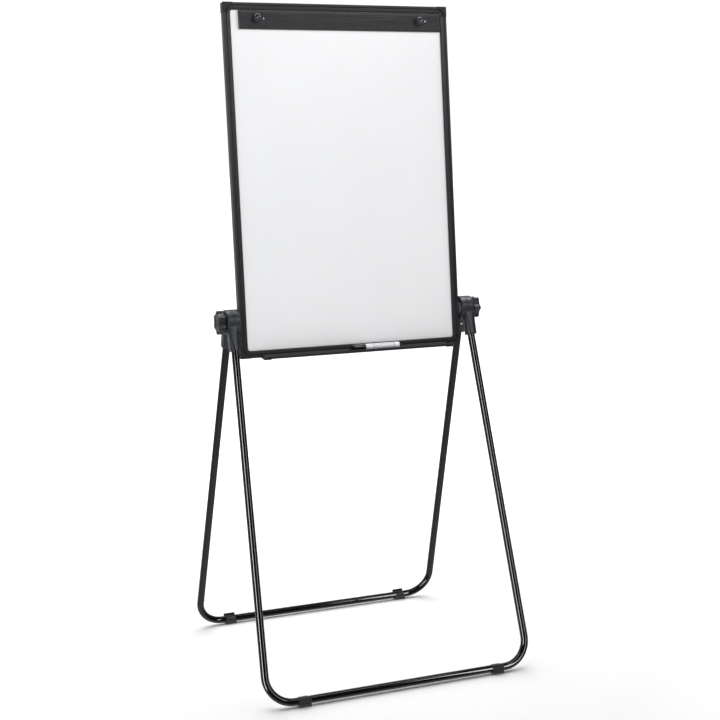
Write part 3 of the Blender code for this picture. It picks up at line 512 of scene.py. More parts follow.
def rail_outline(groove_depth):
    """Section of a rail: two bands with a groove between them, and the slot for the panel."""
    face, floor = RAIL_DEPTH, RAIL_DEPTH - groove_depth
    half = [(0, face - 1.5 * MM), (0.45 * MM, face - 0.45 * MM), (1.5 * MM, face),
            (GROOVE_START - 0.4 * MM, face), (GROOVE_START, face - 0.4 * MM),
            (GROOVE_START + 0.2 * MM, floor), (GROOVE_END - 0.2 * MM, floor),
            (GROOVE_END, face - 0.4 * MM), (GROOVE_END + 0.4 * MM, face), (RAIL_FACE - 1.4 * MM, face),
            (RAIL_FACE - 0.7 * MM, face - 0.2 * MM), (RAIL_FACE - 0.2 * MM, face - 0.7 * MM),
            (RAIL_FACE, face - 1.4 * MM), (RAIL_FACE, SLOT_HALF_DEPTH), (SLOT_START, SLOT_HALF_DEPTH)]
    return half + [(a, -b) for a, b in reversed(half)]


def build_rails():
    """Four rails, each with its outer edge on the board's edge; the bolts pass the side ones."""
    x_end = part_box("top_rail")[1].x
    low, high = board_height("left_rail", 0), board_height("left_rail", 1)
    layout = {
        "left": (X, Z, low, high, (-HALF_WIDTH, 0, 0), "rail_upright"),
        "right": (-X, Z, low, high, (HALF_WIDTH, 0, 0), "rail_upright"),
        "bottom": (Z, X, -x_end, x_end, (0, 0, BOARD_BOTTOM), "rail_across_shaded"),
        "top": (-Z, X, -x_end, x_end, (0, 0, BOARD_TOP), "rail_across_shaded"),
    }
    for name, (inward, along, start, end, edge, paint) in layout.items():
        groove_depth = SIDE_GROOVE_DEPTH if name in SIDES else GROOVE_DEPTH
        rail = prism(rail_outline(groove_depth), start, end, (inward, Y, along))
        rail.data.transform(Matrix.Translation(edge))
        if name in SIDES:
            hole = outboard((-16 * MM, 4 * MM))
            combine(rail, rod(BOLT_HOLE, *hole, 32, outboard_axes(SIDES[name])))
        bevel(rail, 0.25 * MM, 2, 25)
        add(rail, f"{name}_rail_extrusion", IN_BOARD, "board", paint, (f"{name}_rail",), 20)


def build_corners():
    """Moulded corner caps with rounded edges and the rails' groove carried round them."""
    proud = 0.5 * MM
    out, inner, end = -proud, RAIL_FACE, CAP_SIZE
    depth = RAIL_DEPTH + proud
    corner_round, fillet = 3 * MM, 7 * MM
    corner, turn = out + corner_round, inner + fillet
    face = arc((corner, corner), corner_round, 180, 270, 8)
    face += [(end, out), (end, inner)]
    face += arc((turn, turn), fillet, 270, 180, 12)
    face += [(inner, end), (out, end)]
    far = end + 1 * MM
    centre = 28 * MM             # of the groove's turn
    groove = [(far, GROOVE_START)]
    groove += arc((centre, centre), centre - GROOVE_START, 270, 180, 16)
    groove += [(GROOVE_START, far), (GROOVE_END, far)]
    groove += arc((centre, centre), centre - GROOVE_END, 180, 270, 16)
    groove += [(far, GROOVE_END)]
    for vertical, edge, up in (("top", BOARD_TOP, -1), ("bottom", BOARD_BOTTOM, 1)):
        for horizontal, side in SIDES.items():
            axes = (X * -side, Z * up, Y)
            cap = prism(face, -depth, depth, axes)
            for way in (-1, 1):
                depths = sorted((way * (RAIL_DEPTH - GROOVE_DEPTH), way * (depth + 1 * MM)))
                combine(cap, prism(groove, *depths, axes))
            slot = rectangle(SLOT_START, SLOT_START, far, far)
            combine(cap, prism(slot, -SLOT_HALF_DEPTH, SLOT_HALF_DEPTH, axes))
            cap.data.transform(Matrix.Translation((side * HALF_WIDTH, 0, edge)))
            bevel(cap, 0.6 * MM, 3, 40)
            name = f"{vertical}_{horizontal}_corner"
            add(cap, f"{name}_cap", IN_BOARD, "board", "corner", (name,))


# ---------------------------------------------------------------- legs

def leg_path():
    """Centre line of a U-shaped leg as (x, drop) points: upright in its sockets, then flared."""
    flare = atan2(LEG_X_FLOOR - LEG_X_HUB, LEG_LENGTH - SOCKET_LENGTH)
    turn = pi / 2 + flare
    centre_x = LEG_X_FLOOR - BEND_RADIUS * tan(turn / 2)
    centre_drop = LEG_LENGTH - BEND_RADIUS
    half = [(LEG_X_HUB, TUBE_TOP), (LEG_X_HUB, SOCKET_LENGTH - 8 * MM)]
    half += [(LEG_X_HUB + tan(flare) * step * MM * 0.5, SOCKET_LENGTH + step * MM)
             for step in (-4, 0, 4, 8)]       # eases from upright into the flare
    bend_steps = 28
    for i in range(bend_steps + 1):
        angle = -flare + (flare + pi / 2) * i / bend_steps
        half.append((centre_x + BEND_RADIUS * cos(angle), centre_drop + BEND_RADIUS * sin(angle)))
    return [(-x, drop) for x, drop in half] + [(x, drop) for x, drop in reversed(half)]


def build_tubes():
    """A bent tube for each leg, its rings square to the centre line."""
    steps = 48
    for leg, outward in LEGS.items():
        points = [Vector((x, outward * LEG_OFFSET, -drop)) for x, drop in leg_path()]
        rings = []
        for i, point in enumerate(points):
            along = points[min(i + 1, len(points) - 1)] - points[max(i - 1, 0)]
            across = along.normalized().cross(Y).normalized()
            angles = [2 * pi * k / steps for k in range(steps)]
            rings.append([point + (across * cos(a) + Y * sin(a)) * TUBE_RADIUS for a in angles])
        tube = loft(rings)
        add(tube, f"{leg}_leg_bent_tube", IN_LEG[leg], f"{leg}_leg", "tube", (f"{leg}_leg_tube",), 50)


def socket_section(x, height, outward):
    """Cross-section of a leg socket: two sleeves and a tapered panel between thin grooves.

    The panel narrows down the socket, the grooves beside it start below the disc, and the
    bottom edge is drawn in to round it.
    """
    top, bottom = -20 * MM, -SOCKET_LENGTH
    share = min(1.0, max(0.0, (height - top) / (bottom - top)))
    shown = min(1.0, share * 6)
    shrink = SOCKET_EDGE if height <= bottom else 0.0
    half = SOCKET_HALF - shrink
    front, back = SOCKET_FRONT - shrink, SOCKET_BACK + shrink
    panel = (11.4 - 6.2 * share) * MM
    groove_end = panel + 1.7 * MM
    groove = 3.4 * MM * shown
    slope = 2.2 * MM * share
    shoulder = min(13.4 * MM, half - 1.2 * MM)
    face = [(half, front - slope - 2.8 * MM), (half - 0.3 * MM, front - slope - 1.4 * MM),
            (shoulder, front - slope - 0.3 * MM), (groove_end + 0.3 * MM, front),
            (groove_end, front - 0.3 * MM), (panel + 1.2 * MM, front - groove),
            (panel + 0.5 * MM, front - groove), (panel, front - 0.2 * MM * shown),
            (panel * 0.8, front + 0.9 * MM * shown), (panel * 0.2, front + 1.1 * MM * shown)]
    outline = face + [(-a, b) for a, b in reversed(face)]
    outline += [(-half, back + 2 * MM), (-half + 0.6 * MM, back + 0.6 * MM), (-half + 2 * MM, back),
                (half - 2 * MM, back), (half - 0.6 * MM, back + 0.6 * MM), (half, back + 2 * MM)]
    return [Vector((x + a, outward * b, height)) for a, b in outline]


def clutch_disc(is_inner, axes):
    """Disc of a hub: crisp where it meets the other leg's disc, rounded on its other rim."""
    start, end = outboard(INNER_DISC if is_inner else OUTER_DISC)
    first, last = (1.2 * MM, 0.45 * MM) if is_inner else (0.45 * MM, 3.2 * MM)
    quarter = [radians(15 * i) for i in range(7)]
    profile = [(start, 0)]
    profile += [(start + first * (1 - cos(a)), DISC_RADIUS - first * (1 - sin(a))) for a in quarter]
    profile += [(end - last * (1 - sin(a)), DISC_RADIUS - last * (1 - cos(a))) for a in quarter]
    profile += [(end, 0)]
    return turned(profile, 96, axes)


def leg_socket(is_inner, x, outward, axes):
    """Socket for the tube, cut away where the other leg's disc turns."""
    bottom = -SOCKET_LENGTH
    heights = (bottom, bottom + SOCKET_EDGE, -62 * MM, -40 * MM, -30 * MM, -20 * MM, 0.0)
    socket = loft([socket_section(x, height, outward) for height in heights])
    overlap, clearance = 0.5 * MM, 0.6 * MM
    if is_inner:
        others_space = outboard((INNER_DISC[1] - overlap, OUTER_DISC[1] + 5 * MM))
    else:
        others_space = outboard((0, OUTER_DISC[0] + overlap))
    combine(socket, rod(DISC_RADIUS + clearance, *others_space, 96, axes))
    return socket


def build_hub(leg, outward, name, side):
    """Hub of one leg end, bored for the tube, the rivet and the pivot bolt.

    The front leg's disc lies against the board at the left, the rear leg's at the right.
    """
    is_inner = (side == LEFT) == (outward == FRONT)
    axes = outboard_axes(side)
    x = side * LEG_X_HUB
    hub = clutch_disc(is_inner, axes)
    combine(hub, leg_socket(is_inner, x, outward, axes), "UNION")

    bore, rivet_hole = TUBE_RADIUS + GAP, 2.6 * MM
    combine(hub, rod(bore, -SOCKET_LENGTH - 5 * MM, -TUBE_TOP + GAP, 48, (X, Y * outward, Z),
                     (x, LEG_OFFSET)))
    combine(hub, rod(rivet_hole, SOCKET_BACK - 5 * MM, LEG_OFFSET, 24, (X, Z, Y * outward),
                     (x, -RIVET_DROP)))
    combine(hub, rod(BOLT_HOLE, *outboard((0, 60 * MM)), 48, axes))
    bevel(hub, 0.45 * MM, 2, 42)
    add(hub, f"{leg}_{name}_hub_moulding", IN_LEG[leg], f"{leg}_leg", "hub", (f"{leg}_{name}_hub",))


def build_rivet(leg, outward, name, side):
    """Domed blind rivet with the dimple that its pulled mandrel leaves."""
    head = SOCKET_BACK - GAP
    shank, tail = 2.3 * MM, head + 8 * MM
    profile = [(head - 0.9 * MM, 0), (head - 1.0 * MM, 0.9 * MM), (head - 1.7 * MM, 1.2 * MM),
               (head - 1.7 * MM, 2.2 * MM), (head - 1.3 * MM, 3.1 * MM), (head - 0.6 * MM, 3.8 * MM),
               (head, 4.0 * MM), (head, shank), (tail, shank), (tail, 0)]
    rivet = turned(profile, 32, (X, Z, Y * outward), (side * LEG_X_HUB, -RIVET_DROP))
    add(rivet, f"{leg}_{name}_blind_rivet", IN_LEG[leg], f"{leg}_leg", "zinc", (f"{leg}_{name}_rivet",))


def foot_outline():
    """Side view of a floor clip round the tube: flat sole, sprung jaw and tall outward wall.

    Two shallow grooves run along the outside of the wall.
    """
    bore, ring, sole = TUBE_RADIUS + GAP, TUBE_RADIUS + 3 * MM, -TUBE_FLOOR_HEIGHT
    wall, top = 14.2 * MM, 15.5 * MM
    groove_floor = wall - 0.9 * MM
    points = [(wall, top - 1.2 * MM)]
    for groove in (6 * MM, -3 * MM):
        points += [(wall, groove + 1.2 * MM), (groove_floor, groove + 0.7 * MM),
                   (groove_floor, groove - 0.7 * MM), (wall, groove - 1.2 * MM)]
    points += [(wall, sole + 4 * MM), (wall - 0.9 * MM, sole + 1.4 * MM),
               (wall - 2.5 * MM, sole), (-9.5 * MM, sole), (-11.6 * MM, sole + 1.4 * MM)]
    points += arc((0, 0), ring, 205, 140, 16)
    points += arc((0, 0), bore, 140, 360, 40)
    points += [(bore, top - 0.6 * MM), (bore + 0.6 * MM, top), (wall - 1.2 * MM, top)]
    return points


def build_foot(leg, outward, name):
    """Floor clip where the frame has it, its jaw cut shorter than its wall at both ends."""
    lowest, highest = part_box(f"{leg}_{name}_foot")
    centre_x, half = (lowest.x + highest.x) / 2, (highest.x - lowest.x) / 2
    floor_run = IN_LEG[leg] @ Vector((0, outward * LEG_OFFSET, -LEG_LENGTH))
    axes = (Y * outward, Z, X)
    foot = prism(foot_outline(), -half, half, axes)
    relief = rectangle(-20 * MM, 2 * MM, -8 * MM, 20 * MM)
    for way in (-1, 1):
        edge = sorted((way * (half - 4 * MM), way * (half + 1 * MM)))
        combine(foot, prism(relief, *edge, axes))
    bevel(foot, 0.5 * MM, 2, 35)
    where = Matrix.Translation((centre_x, floor_run.y, floor_run.z))
    add(foot, f"{leg}_{name}_floor_clip", where, f"{leg}_leg", "foot", (f"{leg}_{name}_foot",))


def build_legs():
    build_tubes()
    for leg, outward in LEGS.items():
        for name, side in SIDES.items():
            build_hub(leg, outward, name, side)
            build_rivet(leg, outward, name, side)
            build_foot(leg, outward, name)


# ---------------------------------------------------------------- clutch knobs

def knob_radius(angle):
    """Outline of the lobes: a wave round a circle, and a smaller one that fills their crests."""
    mean, lobe, crest, lobes = 30.55, 3.55, 0.6, 6
    return (mean + lobe * cos(lobes * angle) + crest * cos(2 * lobes * angle)) * MM


def knob_body(start, end, turn, axes):
    """Lobed block with a small edge at its back and a rolled one at its front."""
    u, v, w = axes
    roll, steps = 3.2 * MM, 144
    levels = [(start, -1.5 * MM), (start + 0.5 * MM, -0.6 * MM), (start + 1.6 * MM, 0.0)]
    levels += [(end - roll + roll * sin(a), -roll * (1 - cos(a)))
               for a in (0, radians(22), radians(45), radians(67), radians(90))]
    sections = []
    for depth, inset in levels:
        ring = []
        for i in range(steps):
            angle = 2 * pi * i / steps
            radius = knob_radius(angle) + inset
            ring.append(u * radius * cos(angle + turn) + v * radius * sin(angle + turn) + w * depth)
        sections.append(ring)
    return loft(sections)


def build_clutch_knobs():
    """Six-lobed knobs: dished face with a raised ring, and a pocket for the hexagonal nut."""
    for name, side in SIDES.items():
        axes = outboard_axes(side)
        start, end = outboard(KNOB_SPAN)
        turn = pi / 2 if side == LEFT else 0.0
        knob = knob_body(start, end, turn, axes)
        dish, ring, clear = end - 1.4 * MM, end - 0.4 * MM, end + 1 * MM
        face = [(dish, 0), (dish, 9.2 * MM), (ring, 9.6 * MM), (ring, 11.0 * MM),
                (dish, 11.4 * MM), (dish, 17.6 * MM), (clear, 19.2 * MM), (clear, 0)]
        combine(knob, turned(face, 72, axes))
        behind = start - 5 * MM
        combine(knob, rod(5.6 * MM, behind, end - 4.5 * MM, 32, axes))
        across_flats, nut_depth = 17 * MM, 8.3 * MM
        pocket = arc((0, 0), across_flats / 2 / cos(pi / 6), 0, 300, 5)
        combine(knob, prism(pocket, behind, start + nut_depth, axes))
        bevel(knob, 0.35 * MM, 2, 40)
        add(knob, f"{name}_lobed_knob", Matrix.Translation(HUB), f"{name}_clutch", "knob",
            (f"{name}_clutch_knob",))


# ---------------------------------------------------------------- paper clamp

CLAMP_LOW = board_height("clamp_bar", 0)
CLAMP_HIGH = board_height("clamp_bar", 1)
CLAMP_FACE = 17 * MM                  # depths forward of the board's mid-plane
CLAMP_BACK = 6 * MM
STUD_HEIGHT = (Vector(joints["left_clamp_knob_turn"]["pos_m"]) - HUB).dot(BOARD_UP)
STUD_X = joints["right_clamp_knob_turn"]["pos_m"][0]
PIN_OFFSET = 22 * MM                  # from a stud to the pin at its right


def clamp_outline():
    """Bar's section: fine ribs, a plain band at each edge and a softened top."""
    rib_pitch, rib_depth = 4.0 * MM, 0.5 * MM
    low, high = CLAMP_LOW, CLAMP_HIGH
    points = [(CLAMP_BACK, low), (CLAMP_FACE - 2.2 * MM, low), (CLAMP_FACE - 0.6 * MM, low + 1.2 * MM),
              (CLAMP_FACE, low + 3.0 * MM), (CLAMP_FACE, low + 5.6 * MM)]
    first, last = low + 6 * MM, high - 6 * MM
    rib = ((0.0, 1.0), (0.25, 1.0), (0.45, 0.3), (0.6, 0.0), (0.85, 0.0))
    for i in range(int((last - first) / rib_pitch)):
        for share, depth in rib:
            points.append((CLAMP_FACE - rib_depth * depth, first + (i + share) * rib_pitch))
    points += [(CLAMP_FACE, high - 2.4 * MM), (CLAMP_FACE - 0.4 * MM, high - 1.2 * MM),
               (CLAMP_FACE - 1.4 * MM, high - 0.3 * MM), (CLAMP_FACE - 2.6 * MM, high),
               (CLAMP_BACK, high)]
    return points


def clamp_hollow():
    """Section of the bar's inside: a channel with a narrower mouth towards the board."""
    low, high = CLAMP_LOW + 2 * MM, CLAMP_HIGH - 2 * MM
    mouth_low, mouth_high = CLAMP_LOW + 12 * MM, CLAMP_HIGH - 12 * MM
    inner, lip, back = CLAMP_FACE - 2.5 * MM, CLAMP_BACK + 2 * MM, CLAMP_BACK - 5 * MM
    return [(lip, low), (inner, low), (inner, high), (lip, high), (lip, mouth_high),
            (back, mouth_high), (back, mouth_low), (lip, mouth_low)]


def stud_slot(side):
    """Rounded slot that lets the bar slide on a stud."""
    radius, reach = 3.5 * MM, 3 * MM
    slot = arc((side * STUD_X + reach, STUD_HEIGHT), radius, -90, 90, 8)
    slot += arc((side * STUD_X - reach, STUD_HEIGHT), radius, 90, 270, 8)
    return slot


def add_pad_pin(name, centre):
    """Bright pin that a pad's hole hangs on: domed head, and a shoulder inside the bar."""
    face = CLAMP_FACE + GAP
    profile = [(face - 6 * MM, 0), (face - 6 * MM, 3 * MM), (face - 3.3 * MM, 3 * MM),
               (face - 3.3 * MM, 2 * MM), (face, 2 * MM), (face, 2.9 * MM), (face + 0.5 * MM, 2.85 * MM),
               (face + 1.2 * MM, 2.4 * MM), (face + 1.8 * MM, 1.4 * MM), (face + 2.0 * MM, 0)]
    add(turned(profile, 36, FORWARD_AXES, centre), f"{name}_bright_pin", IN_BOARD, "clamp",
        "zinc", (f"{name}_pad_pin",), 50)


def add_thumb_knob(name, centre):
    """Glossy thumb knob: skirt, fluted waist and a face with a shallow cup."""
    start, end = 17.4 * MM, 36.0 * MM
    profile = [(start, 0), (start, 12.2 * MM), (start + 0.5 * MM, 12.8 * MM), (start + 3 * MM, 13 * MM),
               (start + 4.2 * MM, 12.6 * MM), (start + 5.4 * MM, 11.6 * MM), (end - 5 * MM, 10.9 * MM),
               (end - 2 * MM, 10.5 * MM), (end - 0.6 * MM, 9.6 * MM), (end, 8.4 * MM),
               (end - 0.3 * MM, 7.2 * MM), (end - 1.5 * MM, 5.6 * MM), (end - 2.0 * MM, 3 * MM),
               (end - 2.1 * MM, 0)]

    def flutes(depth, angle):
        near = max(0.0, 1 - abs(depth - (end - 7 * MM)) / (6 * MM))
        return 1 - 0.045 * near * (0.5 + 0.5 * cos(18 * angle))

    knob = turned(profile, 108, FORWARD_AXES, centre, flutes)
    combine(knob, rod(3.3 * MM, start - 5 * MM, 30 * MM, 32, FORWARD_AXES, centre))
    add(knob, f"{name}_thumb_knob", IN_BOARD, f"{name}_clamp_screw", "thumb_knob",
        (f"{name}_clamp_knob",), 50)


def add_stud(name, centre):
    """Bolt through the board for a thumb knob, its low domed head on the rear sheet."""
    back, end = -4.4 * MM, 28 * MM
    profile = [(back - 1.6 * MM, 0), (back - 1.6 * MM, 2.2 * MM), (back - 1.3 * MM, 5.2 * MM),
               (back - 0.8 * MM, 6.5 * MM), (back, 7 * MM), (back, 3 * MM), (end - 0.8 * MM, 3 * MM),
               (end, 2.2 * MM), (end, 0)]
    add(turned(profile, 36, FORWARD_AXES, centre), f"{name}_stud_bolt", IN_BOARD, "board",
        "zinc", (f"{name}_clamp_stud",), 30)


def build_clamp():
    """The hollow bar, with a slot and a pin hole near each end and what goes through them."""
    lowest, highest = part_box("clamp_bar")
    end_wall = 1.5 * MM
    bar = prism(clamp_outline(), lowest.x, highest.x, PROFILE_AXES)
    combine(bar, prism(clamp_hollow(), lowest.x + end_wall, highest.x - end_wall, PROFILE_AXES))
    through = (CLAMP_BACK, CLAMP_FACE + 5 * MM)
    for name, side in SIDES.items():
        stud = (side * STUD_X, STUD_HEIGHT)
        pin = (side * STUD_X + PIN_OFFSET, STUD_HEIGHT)
        combine(bar, prism(stud_slot(side), *through, FORWARD_AXES))
        combine(bar, rod(2.3 * MM, *through, 24, FORWARD_AXES, pin))
        add_pad_pin(name, pin)
        add_thumb_knob(name, stud)
        add_stud(name, stud)
    bevel(bar, 0.2 * MM, 1, 60)
    add(bar, "ribbed_clamp_bar", IN_BOARD, "clamp", "clamp", ("clamp_bar",), 20)


# ---------------------------------------------------------------- tray and marker

def tray_outline():
    """Tray's section: back flange, floor, low rolled lip and a front edge that hangs down."""
    back, flange, lip, front, floor = TRAY_BACK, TRAY_FLANGE, TRAY_LIP, TRAY_FRONT, TRAY_FLOOR
    return [(back, floor + 6.3 * MM), (back + 0.5 * MM, floor + 6.8 * MM),
            (flange - 0.4 * MM, floor + 6.7 * MM), (flange, floor + 6.2 * MM),
            (flange, floor + 1.2 * MM), (flange + 0.4 * MM, floor + 0.3 * MM),
            (flange + 1.4 * MM, floor), (lip - 1.2 * MM, floor), (lip - 0.3 * MM, floor + 0.4 * MM),
            (lip, floor + 1.3 * MM), (lip + 0.3 * MM, floor + 2.1 * MM),
            (lip + 1.2 * MM, floor + 2.4 * MM), (front - 0.9 * MM, floor + 2.3 * MM),
            (front - 0.2 * MM, floor + 1.8 * MM), (front, floor + 1.0 * MM),
            (front, floor - 5 * MM), (front - 0.3 * MM, floor - 5.7 * MM),
            (front - 1.1 * MM, floor - 6 * MM), (lip + 0.8 * MM, floor - 6 * MM),
            (lip, floor - 5.4 * MM), (lip, floor - 2.2 * MM), (back, floor - 2.2 * MM)]


def tray_pocket():
    """What a cap leaves free: the tray's section with a gap round it, and the trough above."""
    back, flange = TRAY_BACK - GAP, TRAY_FLANGE + GAP
    lip, front, floor = TRAY_LIP - GAP, TRAY_FRONT + GAP, TRAY_FLOOR
    return [(back, floor + 7.1 * MM), (flange, floor + 7.1 * MM), (flange, floor + 12 * MM),
            (lip, floor + 12 * MM), (lip, floor + 2.7 * MM), (front, floor + 2.7 * MM),
            (front, floor - 6.3 * MM), (lip, floor - 6.3 * MM), (lip, floor - 2.5 * MM),
            (back, floor - 2.5 * MM)]


def tray_cap_outline():
    """Side view of an end cap: a rounded block that slopes down to its nose."""
    back, nose, top = TRAY_BACK, TRAY_FRONT + 1.4 * MM, BOARD_BOTTOM + 9.8 * MM
    points = [(back, top), (back + 4 * MM, top), (nose - 2 * MM, top - 3.8 * MM),
              (nose, top - 5 * MM), (nose, top - 14.4 * MM), (nose - 1.6 * MM, top - 15.7 * MM),
              (nose - 8 * MM, top - 15.5 * MM), (back + 3 * MM, top - 11.4 * MM), (back, top - 11.4 * MM)]
    return rounded(points, 1.3 * MM, 4)


def build_tray():
    """Extruded tray and the moulded caps that close its ends."""
    lowest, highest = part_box("marker_tray")
    tray = prism(tray_outline(), lowest.x, highest.x, PROFILE_AXES)
    add(tray, "rolled_marker_tray", IN_BOARD, "board", "rail_across_shaded", ("marker_tray",), 40)
    wall, clear = 3.5 * MM, 5 * MM
    for name, side in SIDES.items():
        low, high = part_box(f"tray_{name}_cap")
        cap = prism(tray_cap_outline(), low.x, high.x, PROFILE_AXES)
        span = (low.x + wall, high.x + clear) if side == LEFT else (low.x - clear, high.x - wall)
        combine(cap, prism(tray_pocket(), *span, PROFILE_AXES))
        bevel(cap, 0.4 * MM, 2, 40)
        add(cap, f"tray_{name}_moulding", IN_BOARD, "board", "corner", (f"tray_{name}_cap",))


MARKER_CENTRE = (-(TRAY_BACK + TRAY_WALL + GAP + MARKER_RADIUS), TRAY_FLOOR + GAP + MARKER_RADIUS)
MARKER_NECK = MARKER_MOUTH - 19 * MM


def build_marker_barrel():
    """Barrel with a neck under the cap, a fine groove past its shoulder and an end plug."""
    radius, neck, shoulder, end = MARKER_RADIUS, MARKER_NECK, MARKER_MOUTH + 0.6 * MM, 142 * MM
    neck_radius = 6.5 * MM
    profile = [(neck, 0), (neck, 4.2 * MM), (neck + 4 * MM, neck_radius), (shoulder, neck_radius),
               (shoulder, radius - 0.5 * MM), (shoulder + 0.4 * MM, radius - 0.1 * MM),
               (shoulder + 3 * MM, radius), (shoulder + 3.4 * MM, radius - 0.35 * MM),
               (shoulder + 4.2 * MM, radius - 0.35 * MM), (shoulder + 4.6 * MM, radius),
               (end - 7 * MM, radius), (end - 6.6 * MM, radius - 0.3 * MM),
               (end - 6.0 * MM, radius - 0.3 * MM), (end - 5.6 * MM, radius - 0.05 * MM),
               (end - 2.2 * MM, radius - 0.15 * MM), (end - 0.9 * MM, radius - 0.8 * MM),
               (end - 0.2 * MM, radius - 2.2 * MM), (end, radius - 4 * MM), (end, 0)]
    barrel = turned(profile, 56, ALONG_AXES, MARKER_CENTRE)
    combine(barrel, rod(2.9 * MM, neck - 5 * MM, neck + 6 * MM, 24, ALONG_AXES, MARKER_CENTRE))
    add(barrel, "marker_wrapped_barrel", IN_BOARD, "marker", "marker_barrel", ("marker_barrel",), 30)


def build_marker_nib():
    """Bullet nib of felt, held in the barrel's neck."""
    radius, tip, root = 2.6 * MM, MARKER_NECK - 6 * MM, MARKER_NECK + 5.5 * MM
    profile = [(tip, 0), (tip + 0.3 * MM, radius / 2), (tip + 2.4 * MM, radius), (root, radius), (root, 0)]
    nib = turned(profile, 32, ALONG_AXES, MARKER_CENTRE)
    add(nib, "marker_felt_nib", IN_BOARD, "marker", "felt", ("marker_nib",), 50)


def build_marker_cap():
    """Hollow cap with a rounded end and five grip rings before its mouth."""
    radius, start, mouth = MARKER_RADIUS, -10.5 * MM, MARKER_MOUTH
    profile = [(start, 0), (start, radius - 3.6 * MM), (start + 0.3 * MM, radius - 2.2 * MM),
               (start + 1.2 * MM, radius - 1.1 * MM), (start + 3 * MM, radius - 0.5 * MM),
               (start + 12 * MM, radius - 0.2 * MM)]
    ring_pitch, ring_depth = 2.4 * MM, 0.3 * MM
    for i in range(5):
        base = mouth - 14 * MM + i * ring_pitch
        profile += [(base, radius), (base + 0.4 * MM, radius - ring_depth),
                    (base + 0.9 * MM, radius - ring_depth), (base + 1.3 * MM, radius)]
    profile += [(mouth - 0.4 * MM, radius), (mouth, radius - 0.4 * MM), (mouth, 0)]
    cap = turned(profile, 56, ALONG_AXES, MARKER_CENTRE)
    hollow = (start + 2.5 * MM, mouth + 5 * MM)
    combine(cap, rod(6.8 * MM, *hollow, 40, ALONG_AXES, MARKER_CENTRE))
    add(cap, "marker_ribbed_cap", IN_BOARD, "marker_lid", "marker_cap", ("marker_cap",), 30)


# ---------------------------------------------------------------- studio and camera

def build_camera():
    """In front of the easel and to its left, about as high as the middle of the board."""
    camera = bpy.data.objects.new("camera", bpy.data.cameras.new("camera"))
    bpy.context.scene.collection.objects.link(camera)
    camera.data.sensor_width = 36.0
    camera.data.lens = 68.76
    camera.location = (-1.46702, -3.80641, 1.54444)
    yaw, pitch, roll = -0.37389, pi / 2 - 0.15662, -0.01495
    turn = Matrix.Rotation(yaw, 3, "Z") @ Matrix.Rotation(pitch, 3, "X") @ Matrix.Rotation(roll, 3, "Z")
    camera.rotation_euler = turn.to_euler()
    bpy.context.scene.camera = camera


def build_floor():
    """Wide pale floor with some light of its own, so that only contact shadows show."""
    bm = bmesh.new()
    bmesh.ops.create_circle(bm, cap_ends=True, segments=96, radius=60)
    floor = object_from(bm, "studio_floor")
    if floor.data.polygons[0].normal.z < 0:
        floor.data.flip_normals()
    floor.visible_glossy = False
    paint = Paint("studio_floor", (0.82, 0.82, 0.82), 0.9, specular=0.0)
    paint.set("Emission Color", (1, 1, 1, 1))
    coordinates = paint.node("ShaderNodeTexCoord")
    distance = paint.node("ShaderNodeVectorMath")
    distance.operation = "LENGTH"
    paint.link(coordinates.outputs["Object"], distance.inputs[0])
    glow = paint.ranged(distance.outputs["Value"], 0.045, 1.05, 0.9, 4.5)
    paint.link(glow, paint.shader.inputs["Emission Strength"])
    floor.data.materials.append(paint.material)


def area_light(name, location, size, power, target, receivers, blockers=None):
    """Rectangular light, aimed at a point, that lights only some things."""
    light = bpy.data.lights.new(name, "AREA")
    light.shape = "RECTANGLE"
    light.size, light.size_y = size
    light.energy = power
    lamp = bpy.data.objects.new(name, light)
    lamp.location = location
    lamp.rotation_euler = (Vector(location) - Vector(target)).to_track_quat("Z", "Y").to_euler()
    bpy.context.scene.collection.objects.link(lamp)
    lamp.light_linking.receiver_collection = receivers
    if blockers:
        lamp.light_linking.blocker_collection = blockers


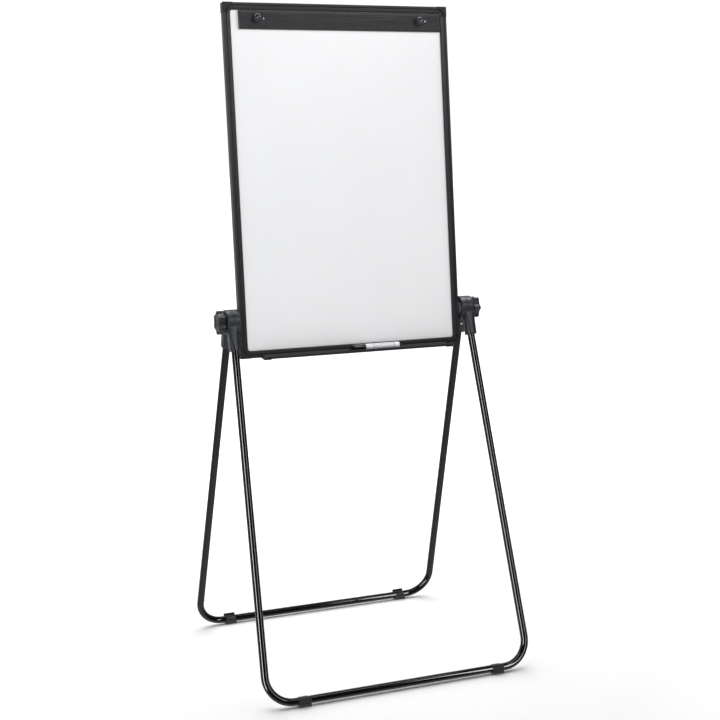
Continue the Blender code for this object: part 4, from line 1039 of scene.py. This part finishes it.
def build_world():
    """White for the camera; for the rest, dark in front and paler behind and below."""
    world = bpy.data.worlds.new("studio")
    bpy.context.scene.world = world
    world.use_nodes = True
    tree = world.node_tree
    background = tree.nodes["Background"]
    background.inputs["Color"].default_value = (1, 1, 1, 1)
    coordinates = tree.nodes.new("ShaderNodeTexCoord")
    split = tree.nodes.new("ShaderNodeSeparateXYZ")
    tree.links.new(coordinates.outputs["Generated"], split.inputs["Vector"])
    behind = map_range(tree, split.outputs["Y"], -0.2, 0.7, 0.05, 0.75)
    behind.interpolation_type = "SMOOTHSTEP"
    below = map_range(tree, split.outputs["Z"], -0.3, -0.75, 0.0, 0.9)
    brighter = tree.nodes.new("ShaderNodeMath")
    brighter.operation = "MAXIMUM"
    tree.links.new(behind.outputs["Result"], brighter.inputs[0])
    tree.links.new(below.outputs["Result"], brighter.inputs[1])
    path = tree.nodes.new("ShaderNodeLightPath")
    choose = tree.nodes.new("ShaderNodeMix")
    choose.inputs["B"].default_value = 1.05
    tree.links.new(path.outputs["Is Camera Ray"], choose.inputs["Factor"])
    tree.links.new(brighter.outputs["Value"], choose.inputs["A"])
    tree.links.new(choose.outputs["Result"], background.inputs["Strength"])


def meshes_named(collection_name, chosen):
    """Collection of the scene's meshes whose name passes a test, for light linking."""
    group = bpy.data.collections.new(collection_name)
    for obj in bpy.context.scene.objects:
        if obj.type == "MESH" and chosen(obj.name):
            group.objects.link(obj)
    return group


def build_lights():
    """Boxes for the easel, long strips for the lines along its tubes, and boxes for the floor."""
    tube, clip, floor = "_leg_bent_tube", "_floor_clip", "studio_floor"
    tubes = meshes_named("tubes", lambda name: name.endswith(tube))
    ground = meshes_named("ground", lambda name: name == floor)
    near_floor = meshes_named("near_floor", lambda name: name.endswith((tube, clip)))
    others = meshes_named("others", lambda name: name != floor and not name.endswith(tube))

    area_light("sheen_box", (1.6, -3.9, 3.45), (1.8, 1.2), 50, (0, 0, 1.5), others)
    area_light("fill_box", (-1.9, -3.9, 1.8), (1.4, 1.4), 68, (0, 0, 1.2), others)
    area_light("top_box", (0.2, 0.95, 4.2), (4.4, 1.5), 195, (0, 0.4, 0), others)
    area_light("left_strip", (-3.0, -2.3, 0.6), (0.6, 3.6), 250, (-0.1, 0, 0.6), tubes, tubes)
    area_light("right_strip", (1.8, -3.3, 1.65), (0.4, 2.7), 66, (0, 0, 1.65), tubes, tubes)
    area_light("top_strip", (0.0, -0.9, 3.4), (3.2, 0.4), 34, (0, 0, 0), tubes, tubes)
    area_light("overhead_box", (0.2, 0.2, 4.0), (4.0, 3.0), 125, (0.2, 0.2, 0), ground, near_floor)
    area_light("low_back_box", (0.3, 2.6, 2.6), (3.6, 3.4), 95, (0, 0, 0), ground, near_floor)


paint_frame_nodes()
build_rails()
build_corners()
build_legs()
build_clutch_knobs()
build_clamp()
build_tray()
build_marker_barrel()
build_marker_nib()
build_marker_cap()
build_camera()
build_floor()
build_world()
build_lights()
bpy.context.scene.view_settings.view_transform = "Standard"
